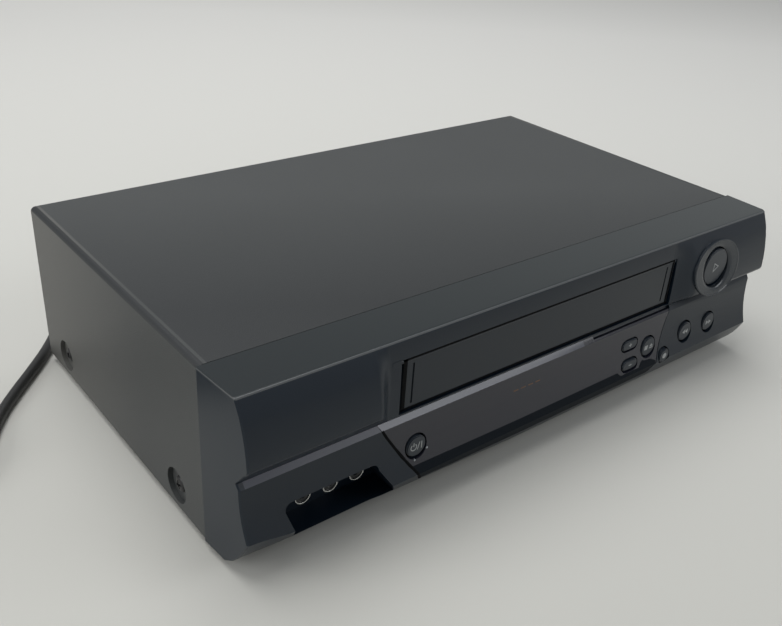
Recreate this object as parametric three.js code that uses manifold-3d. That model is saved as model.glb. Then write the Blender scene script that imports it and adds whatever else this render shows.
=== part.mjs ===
// A front-loading video cassette recorder, as the assembly of the pieces it is built from.
// Millimetres, +Z up, the front faces -Y, origin on the floor under the middle of the recorder.
// Inside the assembly, y = 0 is the seam between the front bezel and the sheet-metal cover.
import * as THREE from "three";
import { mergeVertices } from "three/addons/utils/BufferGeometryUtils.js";
import Module from "manifold-3d";

const wasm = await Module();
wasm.setup();

// Shared clearances
const fit = 0.3; // between pieces that seat on each other
const runningFit = 0.3; // round a shaft or under a turning piece
const overrun = 2; // how far a cut runs past the face it opens
const mergeTolerance = 1e-4;
const simplifyTolerance = 0.01;

// Casing
const coverWidth = 360;
const coverDepth = 186.5;
const bodyHeight = 90;
const footHeight = 4;
const coverSideGap = 0.5;
const coverGauge = 1;
const coverBendRadius = 2.5;
const rearPanelGauge = 2;
const rearPanelSetback = 1;
const bodyBottom = footHeight;
const bodyTop = footHeight + bodyHeight;
const coverHalf = coverWidth / 2;
const rearInside = coverDepth - rearPanelSetback - rearPanelGauge;

// The cassette, and the opening and carriage that it goes into
const cassetteWidth = 188;
const cassetteHeight = 25;
const bayCentre = -2;
const openingWidth = cassetteWidth + 5.5;
const openingHeight = cassetteHeight + 3;
const openingRise = 55.5;
const openingLeft = bayCentre - openingWidth / 2;
const openingRight = bayCentre + openingWidth / 2;
const openingTop = openingRise + openingHeight;
const carriageSheet = 1.2;
const holderSheet = 1;
const holderHalf = cassetteWidth / 2 + holderSheet + 0.4;
const sliderInner = holderHalf + 0.5;
const bracketInner = sliderInner + carriageSheet + 1.7;
const deckHalf = bracketInner + carriageSheet;

// Front bezel
const bezelProud = 0.5;
const bezelHalf = coverHalf + bezelProud;
const bezelWall = 2.5;
const topReach = 27.4;
const centreReach = 28.4;
const bulgeReach = 34.8;
const sillRise = 54.6;
const bulgeCornerRise = 61;
const rightCornerDrop = 3;
const notchReach = 26.2;
const notchRise = 52.6;
const ledgeSize = 2.4;
const lowerReach = 28.2;
const chinReach = 33.3;
const chinRise = 21;
const chinCornerLift = 4;
const chinCornerRun = 30;
const heelReach = 22;
const heelTuck = 6; // the heel lies this much further back at the left end
const heelRise = 0.4;
const topEdgeRadius = 1.5;
const bulgeEdgeRadius = 2.4;
const endRounding = 0.7;
const endDraft = 2.2;
const endDraftRun = 20;
const bulgeLeftFrom = openingLeft - 15.25;
const bulgeLeftTo = openingLeft - 5.25;
const bulgeRightFrom = openingRight - 3.75;
const bulgeRightTo = openingRight + 17.25;
const ledgeTaperFrom = bayCentre - 16;
const ledgeTaperTo = bayCentre + 42;

// Flap over the cassette opening
const doorGap = 1.2;
const doorTopGap = 0.5;
const doorEarGap = 0.5;
const doorThickness = 1.8;
const doorSetback = 0.8;
const doorPinRadius = 1.2;
const doorPinLength = 4;
const doorAxisDrop = 1.3;
const doorAxisDepth = 1;
const doorGrooveInset = 6;
const doorGrooveWidth = 1;
const doorGrooveDepth = 0.6;
const doorEarSize = 4;

// Display window
const windowThickness = 1.6;
const windowFloor = 1.4;
const windowSeam = 0.6;
const grooveHeight = 1.5;
const grooveLead = 6; // how far the groove starts before the ledge has run out
const windowTopLeft = openingLeft - 10.25;
const windowTopRight = openingRight + 4.25;
const windowBottomLeft = openingLeft + 15.75;
const windowBottomRight = openingRight - 8.75;
const windowBottomRise = 14;
const tubeWidth = 70;
const tubeHeight = 12;
const tubeDepth = 6;
const tubeCentre = bayCentre - 3;
const tubeRise = 39;

// Buttons: x, z, radius and, for a pill, its straight half length
const buttonTravel = 1.2;
const buttonGap = 0.95;
const buttonProud = 0.6;
const buttonFlange = 1;
const buttonFlangeDepth = 1.2;
const buttonEdge = 0.5;
const playRingRadius = 15.4;
const playRingDepth = 2.2;
const playCapRise = 1.4;
const buttons = {
  play_button: { x: openingRight + 33.25, z: 72, r: 11 },
  power_button: { x: openingLeft + 10.75, z: 35, r: 5.6 },
  stop_eject_button: { x: openingRight - 12.75, z: 32.7, r: 5.8 },
  record_button: { x: openingRight + 1.45, z: 23.4, r: 4.3, back: 1.6 },
  rewind_button: { x: openingRight + 21.55, z: 32, r: 5.9 },
  fast_forward_button: { x: openingRight + 44.85, z: 31.6, r: 5.7 },
  channel_up_button: { x: openingRight - 29.25, z: 38.6, r: 3, half: 3.4 },
  channel_down_button: { x: openingRight - 29.25, z: 27, r: 3, half: 3.4 },
};

// Front sockets, spread over the fascia left of the cassette opening
const leftCheek = openingLeft + bezelHalf;
const recessLeftShare = 0.269;
const recessRightShare = 0.869;
const jackFirstShare = 0.4575;
const jackPitchShare = 0.1774;
const recessLeft = -bezelHalf + leftCheek * recessLeftShare;
const recessRight = -bezelHalf + leftCheek * recessRightShare;
const recessRise = 34.5;
const recessFloorRise = 12;
const recessLean = 12;
const recessCorner = 3.5;
const recessBackSetback = 12;
const recessWall = 2;
const jackPitch = leftCheek * jackPitchShare;
const jackFirst = -bezelHalf + leftCheek * jackFirstShare;
const jackRise = 25;
const jackRadius = 4.15;
const jackRim = 0.6;
const jackBore = 1.7;
const jackReach = 20;
const jackBodySize = 0.66 * jackPitch;

// Boards
const boardGauge = 1.6;
const mainBoardRise = 10;
const mainBoardTop = mainBoardRise + boardGauge;
const keyBoardSetback = 14;

// Tape deck, laid out from the rear panel forward
const deckRise = 24;
const deckGauge = 1.5;
const deckTop = deckRise + deckGauge;
const deckFront = 10;
const deckBack = rearInside - 3.5;
const drumRadius = 31;
const drumSetback = deckBack - drumRadius - 1;
const lowerDrumHeight = 17;
const upperDrumHeight = 17;
const drumShaftRadius = 3;
const drumMotorRadius = 25;
const drumMotorHeight = 6;
const drumTilt = 5;
const reelSpacing = 92;
const reelSetbackShare = 0.39189;
const reelSetback = drumSetback * reelSetbackShare;
const reelDiscRadius = 17;
const reelDiscHeight = 4;
const reelHubRadius = 8.5;
const reelHubHeight = 13;
const capstanX = 60;
const capstanY = drumSetback - 22;
const capstanRadius = 1.5;
const capstanTop = 56;
const flywheelRadius = 22;
const flywheelHeight = 3.2;
const pulleyHeight = 4;
const capstanPulleyRadius = 9;
const clutchPulleyRadius = 14;
const clutchSetback = reelSetback - 14;
const beltGauge = 0.8;
const pinchPivotX = 82;
const pinchPivotY = drumSetback - 3;
const pinchRollerRadius = 6;
const pinchRollerHeight = 16;
const pinchSwing = 25;
const guidePivotSetback = drumSetback - 14.4;
const guideArmLength = 40.6;
const guideRestAngle = 49.6;
const guidePostRadius = 3;
const guideSwing = 60;
const camX = -68;
const camY = drumSetback - 16;
const tensionX = -78;
const tensionY = drumSetback - 60;

// Finishes
const finish = {
  coverPaint: { color: 0x50524e, roughness: 0.55, metalness: 0.2 },
  bezelPlastic: { color: 0x2a2e33, roughness: 0.5, metalness: 0 },
  doorPlastic: { color: 0x24282b, roughness: 0.4, metalness: 0 },
  windowPlastic: { color: 0x302d2e, roughness: 0.2, metalness: 0 },
  buttonPlastic: { color: 0x202326, roughness: 0.5, metalness: 0 },
  zincSteel: { color: 0xa8abae, roughness: 0.35, metalness: 0.9 },
  brightMetal: { color: 0xd0d0cc, roughness: 0.2, metalness: 1 },
  blackSteel: { color: 0x1b1b1c, roughness: 0.4, metalness: 0.6 },
  circuitBoard: { color: 0x6b5a32, roughness: 0.6, metalness: 0 },
  displayGlass: { color: 0x1a2022, roughness: 0.1, metalness: 0 },
  whitePlastic: { color: 0xe4e2dc, roughness: 0.5, metalness: 0 },
  greyPlastic: { color: 0x6c6e70, roughness: 0.5, metalness: 0 },
  blackRubber: { color: 0x151515, roughness: 0.9, metalness: 0 },
  blackPlastic: { color: 0x18191a, roughness: 0.5, metalness: 0 },
  ferriteBrown: { color: 0x4a4038, roughness: 0.5, metalness: 0.3 },
};

// Solids: closed geometry in, boolean-ready solid out
function solidOf(geometry) {
  const bare = geometry.index ? geometry.toNonIndexed() : geometry.clone();
  for (const name of ["normal", "uv"]) bare.deleteAttribute(name);
  const merged = mergeVertices(bare, mergeTolerance);
  const corners = merged.index.array;
  const triVerts = [];
  for (let i = 0; i < corners.length; i += 3) {
    const [a, b, c] = [corners[i], corners[i + 1], corners[i + 2]];
    if (a !== b && b !== c && a !== c) triVerts.push(a, b, c);
  }
  const mesh = new wasm.Mesh({
    numProp: 3,
    vertProperties: merged.attributes.position.array,
    triVerts: new Uint32Array(triVerts),
  });
  return new wasm.Manifold(mesh);
}

const join = (...solids) => solids.reduce((a, b) => a.add(b));
const cut = (solid, ...tools) => tools.reduce((a, b) => a.subtract(b), solid);

// An outline in the plane square to an axis, extruded between two places on it.
// Axis x takes (y, z) points, axis y takes (x, z) points and axis z takes (x, y) points.
const axisFrames = {
  x: new THREE.Matrix4().set(0, 0, 1, 0, 1, 0, 0, 0, 0, 1, 0, 0, 0, 0, 0, 1),
  y: new THREE.Matrix4().set(1, 0, 0, 0, 0, 0, -1, 0, 0, 1, 0, 0, 0, 0, 0, 1),
  z: new THREE.Matrix4(),
};

function extruded(outline, axis, from, to, holes = []) {
  const flat = (points) => points.map(([u, v]) => new THREE.Vector2(u, v));
  const shape = new THREE.Shape(flat(outline));
  for (const hole of holes) shape.holes.push(new THREE.Path(flat(hole)));
  const geometry = new THREE.ExtrudeGeometry(shape, { depth: to - from, bevelEnabled: false });
  geometry.translate(0, 0, axis === "y" ? -to : from);
  geometry.applyMatrix4(axisFrames[axis]);
  return solidOf(geometry);
}

const rect = (u0, u1, v0, v1) => [
  [u0, v0],
  [u1, v0],
  [u1, v1],
  [u0, v1],
];

const box = (x0, x1, y0, y1, z0, z1) => extruded(rect(x0, x1, y0, y1), "z", z0, z1);

function arc(u, v, radius, fromDegrees, toDegrees, steps) {
  const points = [];
  for (let i = 0; i <= steps; i++) {
    const angle = THREE.MathUtils.degToRad(fromDegrees + ((toDegrees - fromDegrees) * i) / steps);
    points.push([u + radius * Math.cos(angle), v + radius * Math.sin(angle)]);
  }
  return points;
}

const circle = (u, v, radius, steps = 24) => arc(u, v, radius, 0, 360, steps).slice(0, steps);

// A slot with round ends between two points, as wide as twice its radius
function slot(u0, v0, u1, v1, radius, steps = 8) {
  const heading = THREE.MathUtils.radToDeg(Math.atan2(v1 - v0, u1 - u0));
  return [
    ...arc(u1, v1, radius, heading - 90, heading + 90, steps),
    ...arc(u0, v0, radius, heading + 90, heading + 270, steps),
  ];
}

function roundedRect(u0, u1, v0, v1, radius, steps = 4) {
  return [
    ...arc(u1 - radius, v0 + radius, radius, -90, 0, steps),
    ...arc(u1 - radius, v1 - radius, radius, 0, 90, steps),
    ...arc(u0 + radius, v1 - radius, radius, 90, 180, steps),
    ...arc(u0 + radius, v0 + radius, radius, 180, 270, steps),
  ];
}

const rod = (axis, u, v, radius, from, to, steps = 16) =>
  extruded(circle(u, v, radius, steps), axis, from, to);

// A profile of (radius, height) points turned about a vertical line, or about a line along +Y or +X
function turned(profile, axis, u, v, steps = 24) {
  const points = profile.map(([r, h]) => new THREE.Vector2(r, h));
  const geometry = new THREE.LatheGeometry(points, steps);
  if (axis === "z") geometry.rotateX(Math.PI / 2).translate(u, v, 0);
  if (axis === "y") geometry.translate(u, 0, v);
  if (axis === "x") geometry.rotateZ(-Math.PI / 2).translate(0, u, v);
  return solidOf(geometry);
}

function indexed(positions, index) {
  const geometry = new THREE.BufferGeometry();
  geometry.setAttribute("position", new THREE.Float32BufferAttribute(positions, 3));
  geometry.setIndex(index);
  return solidOf(geometry);
}

// A closed skin through like rings of points, capped at its first and last ring
function lofted(rings) {
  const count = rings[0].length;
  const positions = rings.flat(2);
  const index = [];
  for (let r = 0; r + 1 < rings.length; r++)
    for (let i = 0; i < count; i++) {
      const a = r * count + i;
      const b = r * count + ((i + 1) % count);
      index.push(a, a + count, b, b, a + count, b + count);
    }
  const cap = (ring, base, flip) => {
    const flat = ring.map(([, y, z]) => new THREE.Vector2(y, z));
    for (const [a, b, c] of THREE.ShapeUtils.triangulateShape(flat, []))
      index.push(base + a, base + (flip ? c : b), base + (flip ? b : c));
  };
  cap(rings[0], 0, true);
  cap(rings.at(-1), (rings.length - 1) * count, false);
  return indexed(positions, index);
}

const assembly = new THREE.Group();

// Adds a solid to the assembly as a named mesh with its finish
function piece(name, solid, look, parent = assembly) {
  const made = solid.asOriginal().simplify(simplifyTolerance).getMesh();
  const geometry = new THREE.BufferGeometry();
  const positions = new Float32Array(made.numVert * 3);
  for (let i = 0; i < made.numVert; i++)
    positions.set(made.vertProperties.subarray(i * made.numProp, i * made.numProp + 3), i * 3);
  geometry.setAttribute("position", new THREE.BufferAttribute(positions, 3));
  geometry.setIndex(new THREE.BufferAttribute(made.triVerts, 1));
  const mesh = new THREE.Mesh(geometry, new THREE.MeshStandardMaterial(look));
  mesh.name = name;
  parent.add(mesh);
  return mesh;
}

const smooth = (t) => {
  const s = Math.min(1, Math.max(0, t));
  return s * s * (3 - 2 * s);
};
const ramp = (x, from, to) => smooth((x - from) / (to - from));

// Front bezel: how its section changes along x
const flareShare = 0.3; // of the edge radius, kept where the fascia is flat
const chinCurve = 2.2; // powers of the chin's front and underside
const undersideCurve = 1.15;
const undersideDrop = 1.35;
const undersideSteps = 4;
const underGap = 0.4;
const bulgeAt = (x) => 1 - ramp(x, bulgeLeftFrom, bulgeLeftTo) + ramp(x, bulgeRightFrom, bulgeRightTo);
const ledgeAt = (x) => 1 - ramp(x, ledgeTaperFrom, ledgeTaperTo);
const cornerAt = (x) => {
  const corner = bulgeCornerRise - rightCornerDrop * ramp(x, bulgeRightFrom, bulgeRightTo);
  return sillRise + (corner - sillRise) * bulgeAt(x);
};
const heelReachAt = (x) => heelReach - heelTuck * ramp(-x, -openingLeft - 15, -openingLeft + 15);
const chinLiftAt = (x) => chinCornerLift * ramp(-x, bezelHalf - chinCornerRun, bezelHalf);

// How far the lower fascia stands out at a height, between the ledge and the tip of the chin
function lowerReachAt(z, x = 0) {
  const top = notchRise - ledgeSize;
  const tip = chinRise + chinLiftAt(x);
  const share = Math.min(1, Math.max(0, (top - z) / (top - tip)));
  return lowerReach + (chinReach - lowerReach) * share ** chinCurve;
}

function upperReachAt(z, x) {
  const low = centreReach + (bulgeReach - centreReach) * bulgeAt(x);
  const share = Math.min(1, Math.max(0, (bodyTop - z) / (bodyTop - cornerAt(x))));
  return topReach + (low - topReach) * (1 - (1 - share) ** 2);
}

// The bezel's front line at one x, from the top edge down to the heel, as (y, z) points
function frontLine(x, steps) {
  const bulge = bulgeAt(x);
  const ledge = ledgeSize * ledgeAt(x);
  const corner = cornerAt(x);
  const low = centreReach + (bulgeReach - centreReach) * bulge;
  const tip = chinRise + chinLiftAt(x);
  const points = arc(-topReach + topEdgeRadius, bodyTop - topEdgeRadius, topEdgeRadius, 90, 180, 2);
  const upperTop = bodyTop - topEdgeRadius;
  for (let i = 1; i <= steps; i++) {
    const z = upperTop + ((corner + bulgeEdgeRadius - upperTop) * i) / steps;
    points.push([-upperReachAt(z, x), z]);
  }
  const edge = bulgeEdgeRadius * (flareShare + (1 - flareShare) * bulge);
  points.push([-low + edge / 4, corner + edge / 3]);
  points.push([-low + edge, corner - edge / 3]);
  points.push([-notchReach, notchRise]);
  const foot = Math.max(ledge, ledgeSize / 4);
  points.push([-notchReach - (foot * 5) / 6, notchRise - foot]);
  const lowerTop = notchRise - ledgeSize - edge / 5;
  for (let i = 0; i <= steps; i++) {
    const z = lowerTop + ((tip - lowerTop) * i) / steps;
    points.push([-lowerReachAt(z, x), z]);
  }
  const heelZ = bodyBottom + heelRise;
  const heel = heelReachAt(x);
  for (let i = 1; i <= undersideSteps; i++) {
    const t = i / undersideSteps;
    const y = -chinReach + underGap * (1 - t) + (chinReach - heel) * t ** undersideCurve;
    const z = tip + (heelZ - tip) * (1 - (1 - t) ** undersideDrop);
    points.push([Math.min(y, -heel), z]);
  }
  return points;
}

// The two ends lean in towards the front
const draftedX = (x, y) => {
  const share = ramp(Math.abs(x), bezelHalf - endDraftRun, bezelHalf);
  return x - Math.sign(x) * endDraft * share * (Math.max(0, -y) / bulgeReach);
};

// One closed ring of the bezel's outer form, drawn in a little at the two ends
function outerRing(x, steps) {
  const pinch = endRounding * (1 - smooth((bezelHalf - Math.abs(x)) / endRounding));
  const line = frontLine(x, steps).map(([y, z]) => [y + pinch, z]);
  return [[0, bodyTop], ...line, [0, bodyBottom]].map(([y, z]) => [draftedX(x, y), y, z]).reverse();
}

// The hollow behind it, one wall further in
function innerRing(x, steps, wall) {
  const middle = (bodyTop + bodyBottom) / 2;
  const squeeze = (bodyHeight - 2 * wall) / bodyHeight;
  const line = frontLine(x, steps).map(([y, z]) => [y + wall, middle + (z - middle) * squeeze]);
  const back = overrun;
  return [[back, bodyTop - wall], ...line, [back, bodyBottom + wall]]
    .map(([y, z]) => [draftedX(x, y), y, z])
    .reverse();
}

const bothSides = [-1, 1];

// A span out from the middle, on the right or mirrored on the left
const sideSpan = (side, from, to) => (side < 0 ? [-to, -from] : [from, to]);

const between = (from, to, steps) =>
  Array.from({ length: steps + 1 }, (_, i) => from + ((to - from) * i) / steps);

const outerStations = [
  -bezelHalf,
  -bezelHalf + endRounding,
  ...between(-bezelHalf + chinCornerRun / 4, -bezelHalf + chinCornerRun, 3),
  ...between(bulgeLeftFrom, bulgeLeftTo, 5),
  ledgeTaperFrom,
  (ledgeTaperFrom + ledgeTaperTo) / 2,
  ledgeTaperTo,
  ...between(bulgeRightFrom, bulgeRightTo, 6),
  bezelHalf - endRounding,
  bezelHalf,
];
const innerStations = [
  -bezelHalf + bezelWall,
  -bezelHalf + chinCornerRun,
  ...between(bulgeLeftFrom, bulgeLeftTo, 2),
  ledgeTaperFrom,
  ledgeTaperTo,
  ...between(bulgeRightFrom, bulgeRightTo, 2),
  bezelHalf - bezelWall,
];
const bezelForm = lofted(outerStations.map((x) => outerRing(x, 5)));
const bezelHollow = (wall) => lofted(innerStations.map((x) => innerRing(x, 3, wall)));

// Outline of the display window, in (x, z), grown by a margin
const windowLeanShare = 0.46; // of the left edge's run, made in its upper half
function windowOutline(grow) {
  const top = notchRise + grow;
  const bottom = windowBottomRise - grow;
  const middleX = windowTopLeft + (windowBottomLeft - windowTopLeft) * windowLeanShare;
  return [
    [windowTopLeft - grow, top],
    [middleX - grow, (top + bottom) / 2],
    [windowBottomLeft - grow, bottom],
    [windowBottomRight + grow, bottom],
    [windowTopRight + grow, top],
  ];
}

// The groove that takes over from the ledge along the window's top edge
function windowGroove() {
  const left = ledgeTaperTo - grooveLead;
  const outline = rect(left, windowTopRight + windowSeam, notchRise - grooveHeight, notchRise);
  const behindFace = bezelForm.translate([0, windowThickness, 0]);
  return extruded(outline, "y", -bulgeReach - overrun, 0).subtract(behindFace);
}

// A button's outline in (x, z): round, or a pill where it has a straight half length
const buttonOutline = ({ x, z, r, half = 0 }, grow) =>
  half ? slot(x - half, z, x + half, z, r + grow, 5) : circle(x, z, r + grow, 14 + Math.round(r));

const doorAxisY = -(centreReach - doorSetback) + doorAxisDepth;
const doorAxisZ = openingTop - doorAxisDrop;

const recessOutline = (grow) => [
  [recessLeft - grow + recessLean / 2, recessFloorRise - grow],
  [recessRight + grow + recessLean, recessFloorRise - grow],
  ...arc(recessRight + grow - recessCorner, recessRise + grow - recessCorner, recessCorner, 0, 90, 4),
  ...arc(recessLeft - grow + recessCorner, recessRise + grow - recessCorner, recessCorner, 90, 180, 4),
];
const jackPlaces = [0, 1, 2].map((i) => jackFirst + i * jackPitch);

// The back of the boss behind the play button's dished ring
function playRingBack() {
  const { x, z } = buttons.play_button;
  const front = -upperReachAt(z, x) + playRingDepth;
  const above = -upperReachAt(z + playRingRadius, x);
  return Math.max(front, above) + bezelWall;
}

// The dish round the play button: a flat cone that leans with the cheek's face
function playDish() {
  const { x, z, r } = buttons.play_button;
  const rise = upperReachAt(z - playRingRadius, x) - upperReachAt(z + playRingRadius, x);
  const lean = THREE.MathUtils.radToDeg(Math.atan(rise / (2 * playRingRadius)));
  const inner = r + buttonGap;
  const front = -2 * overrun;
  const flare = ((playRingRadius - inner) * -front) / playRingDepth;
  const profile = [
    [0, front],
    [playRingRadius + flare, front],
    [playRingRadius, 0],
    [inner, playRingDepth],
    [0, playRingDepth],
  ];
  return turned(profile, "y", 0, 0, 36)
    .rotate([-lean, 0, 0])
    .translate([x, -upperReachAt(z, x), z]);
}

// Posts inside the fascia that carry the key board, and the opening in front of the display tube
const keyPostRadius = 2.5;
const keyBoardPosts = [
  [bayCentre - 64, 22],
  [bayCentre + 12, 22],
  [bayCentre + 48, 46],
  [openingRight + 11.25, 45],
];
const apertureMargin = 2;
const apertureOutline = rect(
  tubeCentre - tubeWidth / 2 - apertureMargin,
  tubeCentre + tubeWidth / 2 + apertureMargin,
  tubeRise - tubeHeight / 2 - 1,
  tubeRise + tubeHeight / 2 + 1,
);

function frontBezel() {
  const far = bulgeReach + overrun;
  let body = cut(bezelForm, bezelHollow(bezelWall));
  const windowSeat = bezelForm.intersect(
    cut(
      extruded(windowOutline(-windowFloor), "y", -far, 0),
      bezelForm.translate([0, windowThickness + fit + windowFloor, 0]),
    ),
  );
  body = join(body, windowSeat);
  const recessBack = -recessBackSetback + recessWall;
  const recess = extruded(recessOutline(recessWall), "y", -chinReach + recessWall, recessBack);
  body = join(body, recess.intersect(bezelForm));
  for (const [side, at] of [
    [-1, openingLeft],
    [1, openingRight],
  ]) {
    const inner = at + side * doorEarGap;
    const outer = at + side * (doorEarGap + doorPinLength);
    const ear = box(
      Math.min(inner, outer),
      Math.max(inner, outer),
      -centreReach + bezelWall / 2,
      doorAxisY + doorEarSize,
      doorAxisZ - doorEarSize,
      doorAxisZ + doorEarSize,
    );
    body = join(body, ear);
  }
  const opening = extruded(rect(openingLeft, openingRight, openingRise, openingTop), "y", -far, 0);
  const pocket = extruded(windowOutline(windowSeam), "y", -far, 0);
  const windowRoom = pocket.subtract(bezelForm.translate([0, windowThickness + fit, 0]));
  const aperture = extruded(apertureOutline, "y", -far, 0);
  const pinReach = doorPinLength + fit;
  body = cut(
    body,
    opening,
    windowRoom,
    aperture,
    extruded(recessOutline(0), "y", -far, -recessBackSetback),
    rod("x", doorAxisY, doorAxisZ, doorPinRadius + fit, openingLeft - pinReach, openingRight + pinReach),
  );
  body = body.subtract(windowGroove());
  for (const spec of Object.values(buttons))
    body = body.subtract(extruded(buttonOutline(spec, buttonGap), "y", -far, 0));
  for (const x of jackPlaces) body = body.subtract(rod("y", x, jackRise, jackRadius + fit, -far, 0));
  const behindWindow = bezelForm.translate([0, windowThickness + 2 * fit, 0]);
  for (const [x, z] of keyBoardPosts) {
    const post = rod("y", x, z, keyPostRadius, -far, -keyBoardSetback - fit, 8);
    body = join(body, post.intersect(behindWindow));
  }
  const play = buttons.play_button;
  const ringFront = -upperReachAt(play.z, play.x);
  const ringBack = playRingBack();
  const ringWall = rod("y", play.x, play.z, playRingRadius + 1, ringFront - overrun, ringBack, 32);
  const playHole = rod("y", play.x, play.z, play.r + buttonGap, -far, ringBack + overrun);
  return cut(join(body, ringWall.intersect(bezelForm)), playHole, playDish());
}
piece("front_bezel", frontBezel(), finish.bezelPlastic);

function displayWindow() {
  const far = bulgeReach + overrun;
  let panel = extruded(windowOutline(0), "y", -far, 0).intersect(bezelForm);
  panel = panel.subtract(bezelForm.translate([0, windowThickness, 0]));
  for (const name of ["power_button", "stop_eject_button", "channel_up_button", "channel_down_button"])
    panel = panel.subtract(extruded(buttonOutline(buttons[name], buttonGap), "y", -far, 0));
  return panel.subtract(windowGroove());
}
piece("display_window", displayWindow(), finish.windowPlastic);

function cassetteDoor() {
  const front = -(centreReach - doorSetback);
  const left = openingLeft + doorGap;
  const right = openingRight - doorGap;
  const [low, high] = [openingRise + doorGap, openingTop - doorTopGap];
  const flap = box(left, right, front, front + doorThickness, low, high);
  const stiffener = box(
    left + doorGrooveInset,
    right - doorGrooveInset,
    front + doorThickness,
    front + doorThickness + doorGrooveDepth,
    openingTop - doorTopGap - openingHeight / 4,
    doorAxisZ - doorPinRadius,
  );
  const pins = rod("x", doorAxisY, doorAxisZ, doorPinRadius, left - doorPinLength, right + doorPinLength, 12);
  const grooves = [left + doorGrooveInset, right - doorGrooveInset].map((x) =>
    box(
      x - doorGrooveWidth / 2,
      x + doorGrooveWidth / 2,
      front - overrun,
      front + doorGrooveDepth,
      openingRise + openingHeight / 8,
      openingTop - openingHeight / 8,
    ),
  );
  return cut(join(flap, stiffener, pins), ...grooves);
}
piece("cassette_door", cassetteDoor(), finish.doorPlastic);

// Each button: a cap in its hole and a flange that holds it behind the wall
function buttonSeat(name, spec) {
  if (name === "play_button") return playRingBack() + 2 * fit;
  const top = spec.z + spec.r + buttonGap + buttonFlange;
  return -lowerReachAt(top) + windowThickness + windowFloor + 2 * fit + (spec.back ?? 0);
}

function buttonFront(name, spec) {
  if (name === "play_button") return -upperReachAt(spec.z, spec.x) + playRingDepth - playCapRise;
  return -lowerReachAt(spec.z) - buttonProud;
}

function buttonSolid(name, spec) {
  const front = buttonFront(name, spec);
  const seat = buttonSeat(name, spec);
  const cap = join(
    extruded(buttonOutline(spec, 0), "y", front + buttonEdge, seat),
    extruded(buttonOutline(spec, -buttonEdge), "y", front, seat),
  );
  const flange = extruded(buttonOutline(spec, buttonGap + buttonFlange), "y", seat, seat + buttonFlangeDepth);
  return join(cap, flange);
}
for (const [name, spec] of Object.entries(buttons))
  piece(name, buttonSolid(name, spec), finish.buttonPlastic);

// Top cover: folded sheet steel, open below and at both ends, dished round its four screws
const dishRadius = 9;
const dishDepth = 2.5;
const screwHeadRadius = 4;
const screwHeadHeight = 1.6;
const screwShankRadius = 1.5;
const screwLength = 7;
const screwRise = 12;
const screwFrontSetback = 27;
const screwRearSetback = coverDepth - 27.5;
const screwPlaces = [
  ["left_front", -1, screwFrontSetback],
  ["left_rear", -1, screwRearSetback],
  ["right_front", 1, screwFrontSetback],
  ["right_rear", 1, screwRearSetback],
];
const screwZ = bodyBottom + screwRise;

function topCover() {
  const half = coverHalf;
  const bottom = bodyBottom + coverSideGap;
  const fold = (inset) => {
    const r = coverBendRadius - inset;
    return [
      [half - inset, bottom],
      ...arc(half - coverBendRadius, bodyTop - coverBendRadius, r, 0, 90, 4),
      ...arc(-half + coverBendRadius, bodyTop - coverBendRadius, r, 90, 180, 4),
      [-half + inset, bottom],
    ];
  };
  const sheet = [...fold(0), ...fold(coverGauge).reverse()];
  let cover = extruded(sheet, "y", fit, coverDepth);
  for (const [, side, y] of screwPlaces) {
    const across = (radius, from, to) =>
      rod("x", y, screwZ, radius, ...sideSpan(side, half - from, half + to), 16);
    const boss = across(dishRadius + coverGauge / 2, dishDepth + coverGauge, 0);
    const dish = across(dishRadius, dishDepth, overrun);
    const hole = across(screwShankRadius + fit, dishDepth + coverGauge + overrun, overrun);
    cover = cut(join(cover, boss), dish, hole);
  }
  return cover;
}
piece("top_cover", topCover(), finish.coverPaint);

// Cover screws: domed head and plain shank into the chassis flange
const screwRimShare = 0.9;
const screwRimRise = 0.7;
const flangeOuter = coverHalf - coverGauge - dishDepth - fit;
for (const [place, side, y] of screwPlaces) {
  const seat = coverHalf - dishDepth;
  const profile = [
    [0, seat - screwLength],
    [screwShankRadius, seat - screwLength],
    [screwShankRadius, seat],
    [screwHeadRadius, seat],
    [screwHeadRadius * screwRimShare, seat + screwHeadHeight * screwRimRise],
    [screwHeadRadius / 2, seat + screwHeadHeight],
    [0, seat + screwHeadHeight],
  ];
  let screw = turned(profile, "x", side * y, screwZ, 12);
  if (side < 0) screw = screw.rotate([0, 0, 180]);
  piece("cover_screw_" + place, screw, finish.blackSteel);
}

// Main board and power supply board: where they lie on the chassis
const mainBoardLeft = bayCentre - deckHalf + 4;
const mainBoardRight = coverHalf - 12;
const mainBoardFront = 26;
const mainBoardBack = rearInside - 21.5;
const supplyLeft = -coverHalf + 8;
const supplyRight = bayCentre - deckHalf - 4;
const supplyFront = 60;
const supplyBack = rearInside - 5.5;
const supplyWidth = supplyRight - supplyLeft;

// Bottom chassis: folded steel tray with posts that carry the boards and the deck
const chassisGauge = 1.5;
const chassisFlangeHeight = 26;
const chassisFrontSetback = 0.3;
const postInset = 8;
const postRadius = 3.5;
const boardPosts = [
  [mainBoardLeft + 38, mainBoardFront + postInset],
  [mainBoardLeft + 38, mainBoardBack - postInset],
  [mainBoardRight - 18, mainBoardFront + postInset],
  [mainBoardRight - 18, mainBoardBack - 52],
  [supplyLeft + postInset, supplyFront + postInset],
  [supplyRight - postInset, supplyFront + postInset],
  [supplyLeft + postInset, supplyBack - 38],
  [supplyRight - postInset, supplyBack - 38],
];
const deckPostReach = deckHalf - 12;
const deckPosts = [
  [bayCentre - deckPostReach, deckFront + 10],
  [bayCentre + deckPostReach, deckFront + 10],
  [bayCentre - deckPostReach, deckBack - postInset],
  [bayCentre + deckPostReach, deckBack - postInset],
];
const floorVents = 6;
const ventPitch = 9;
const ventWidth = 3;

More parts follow.
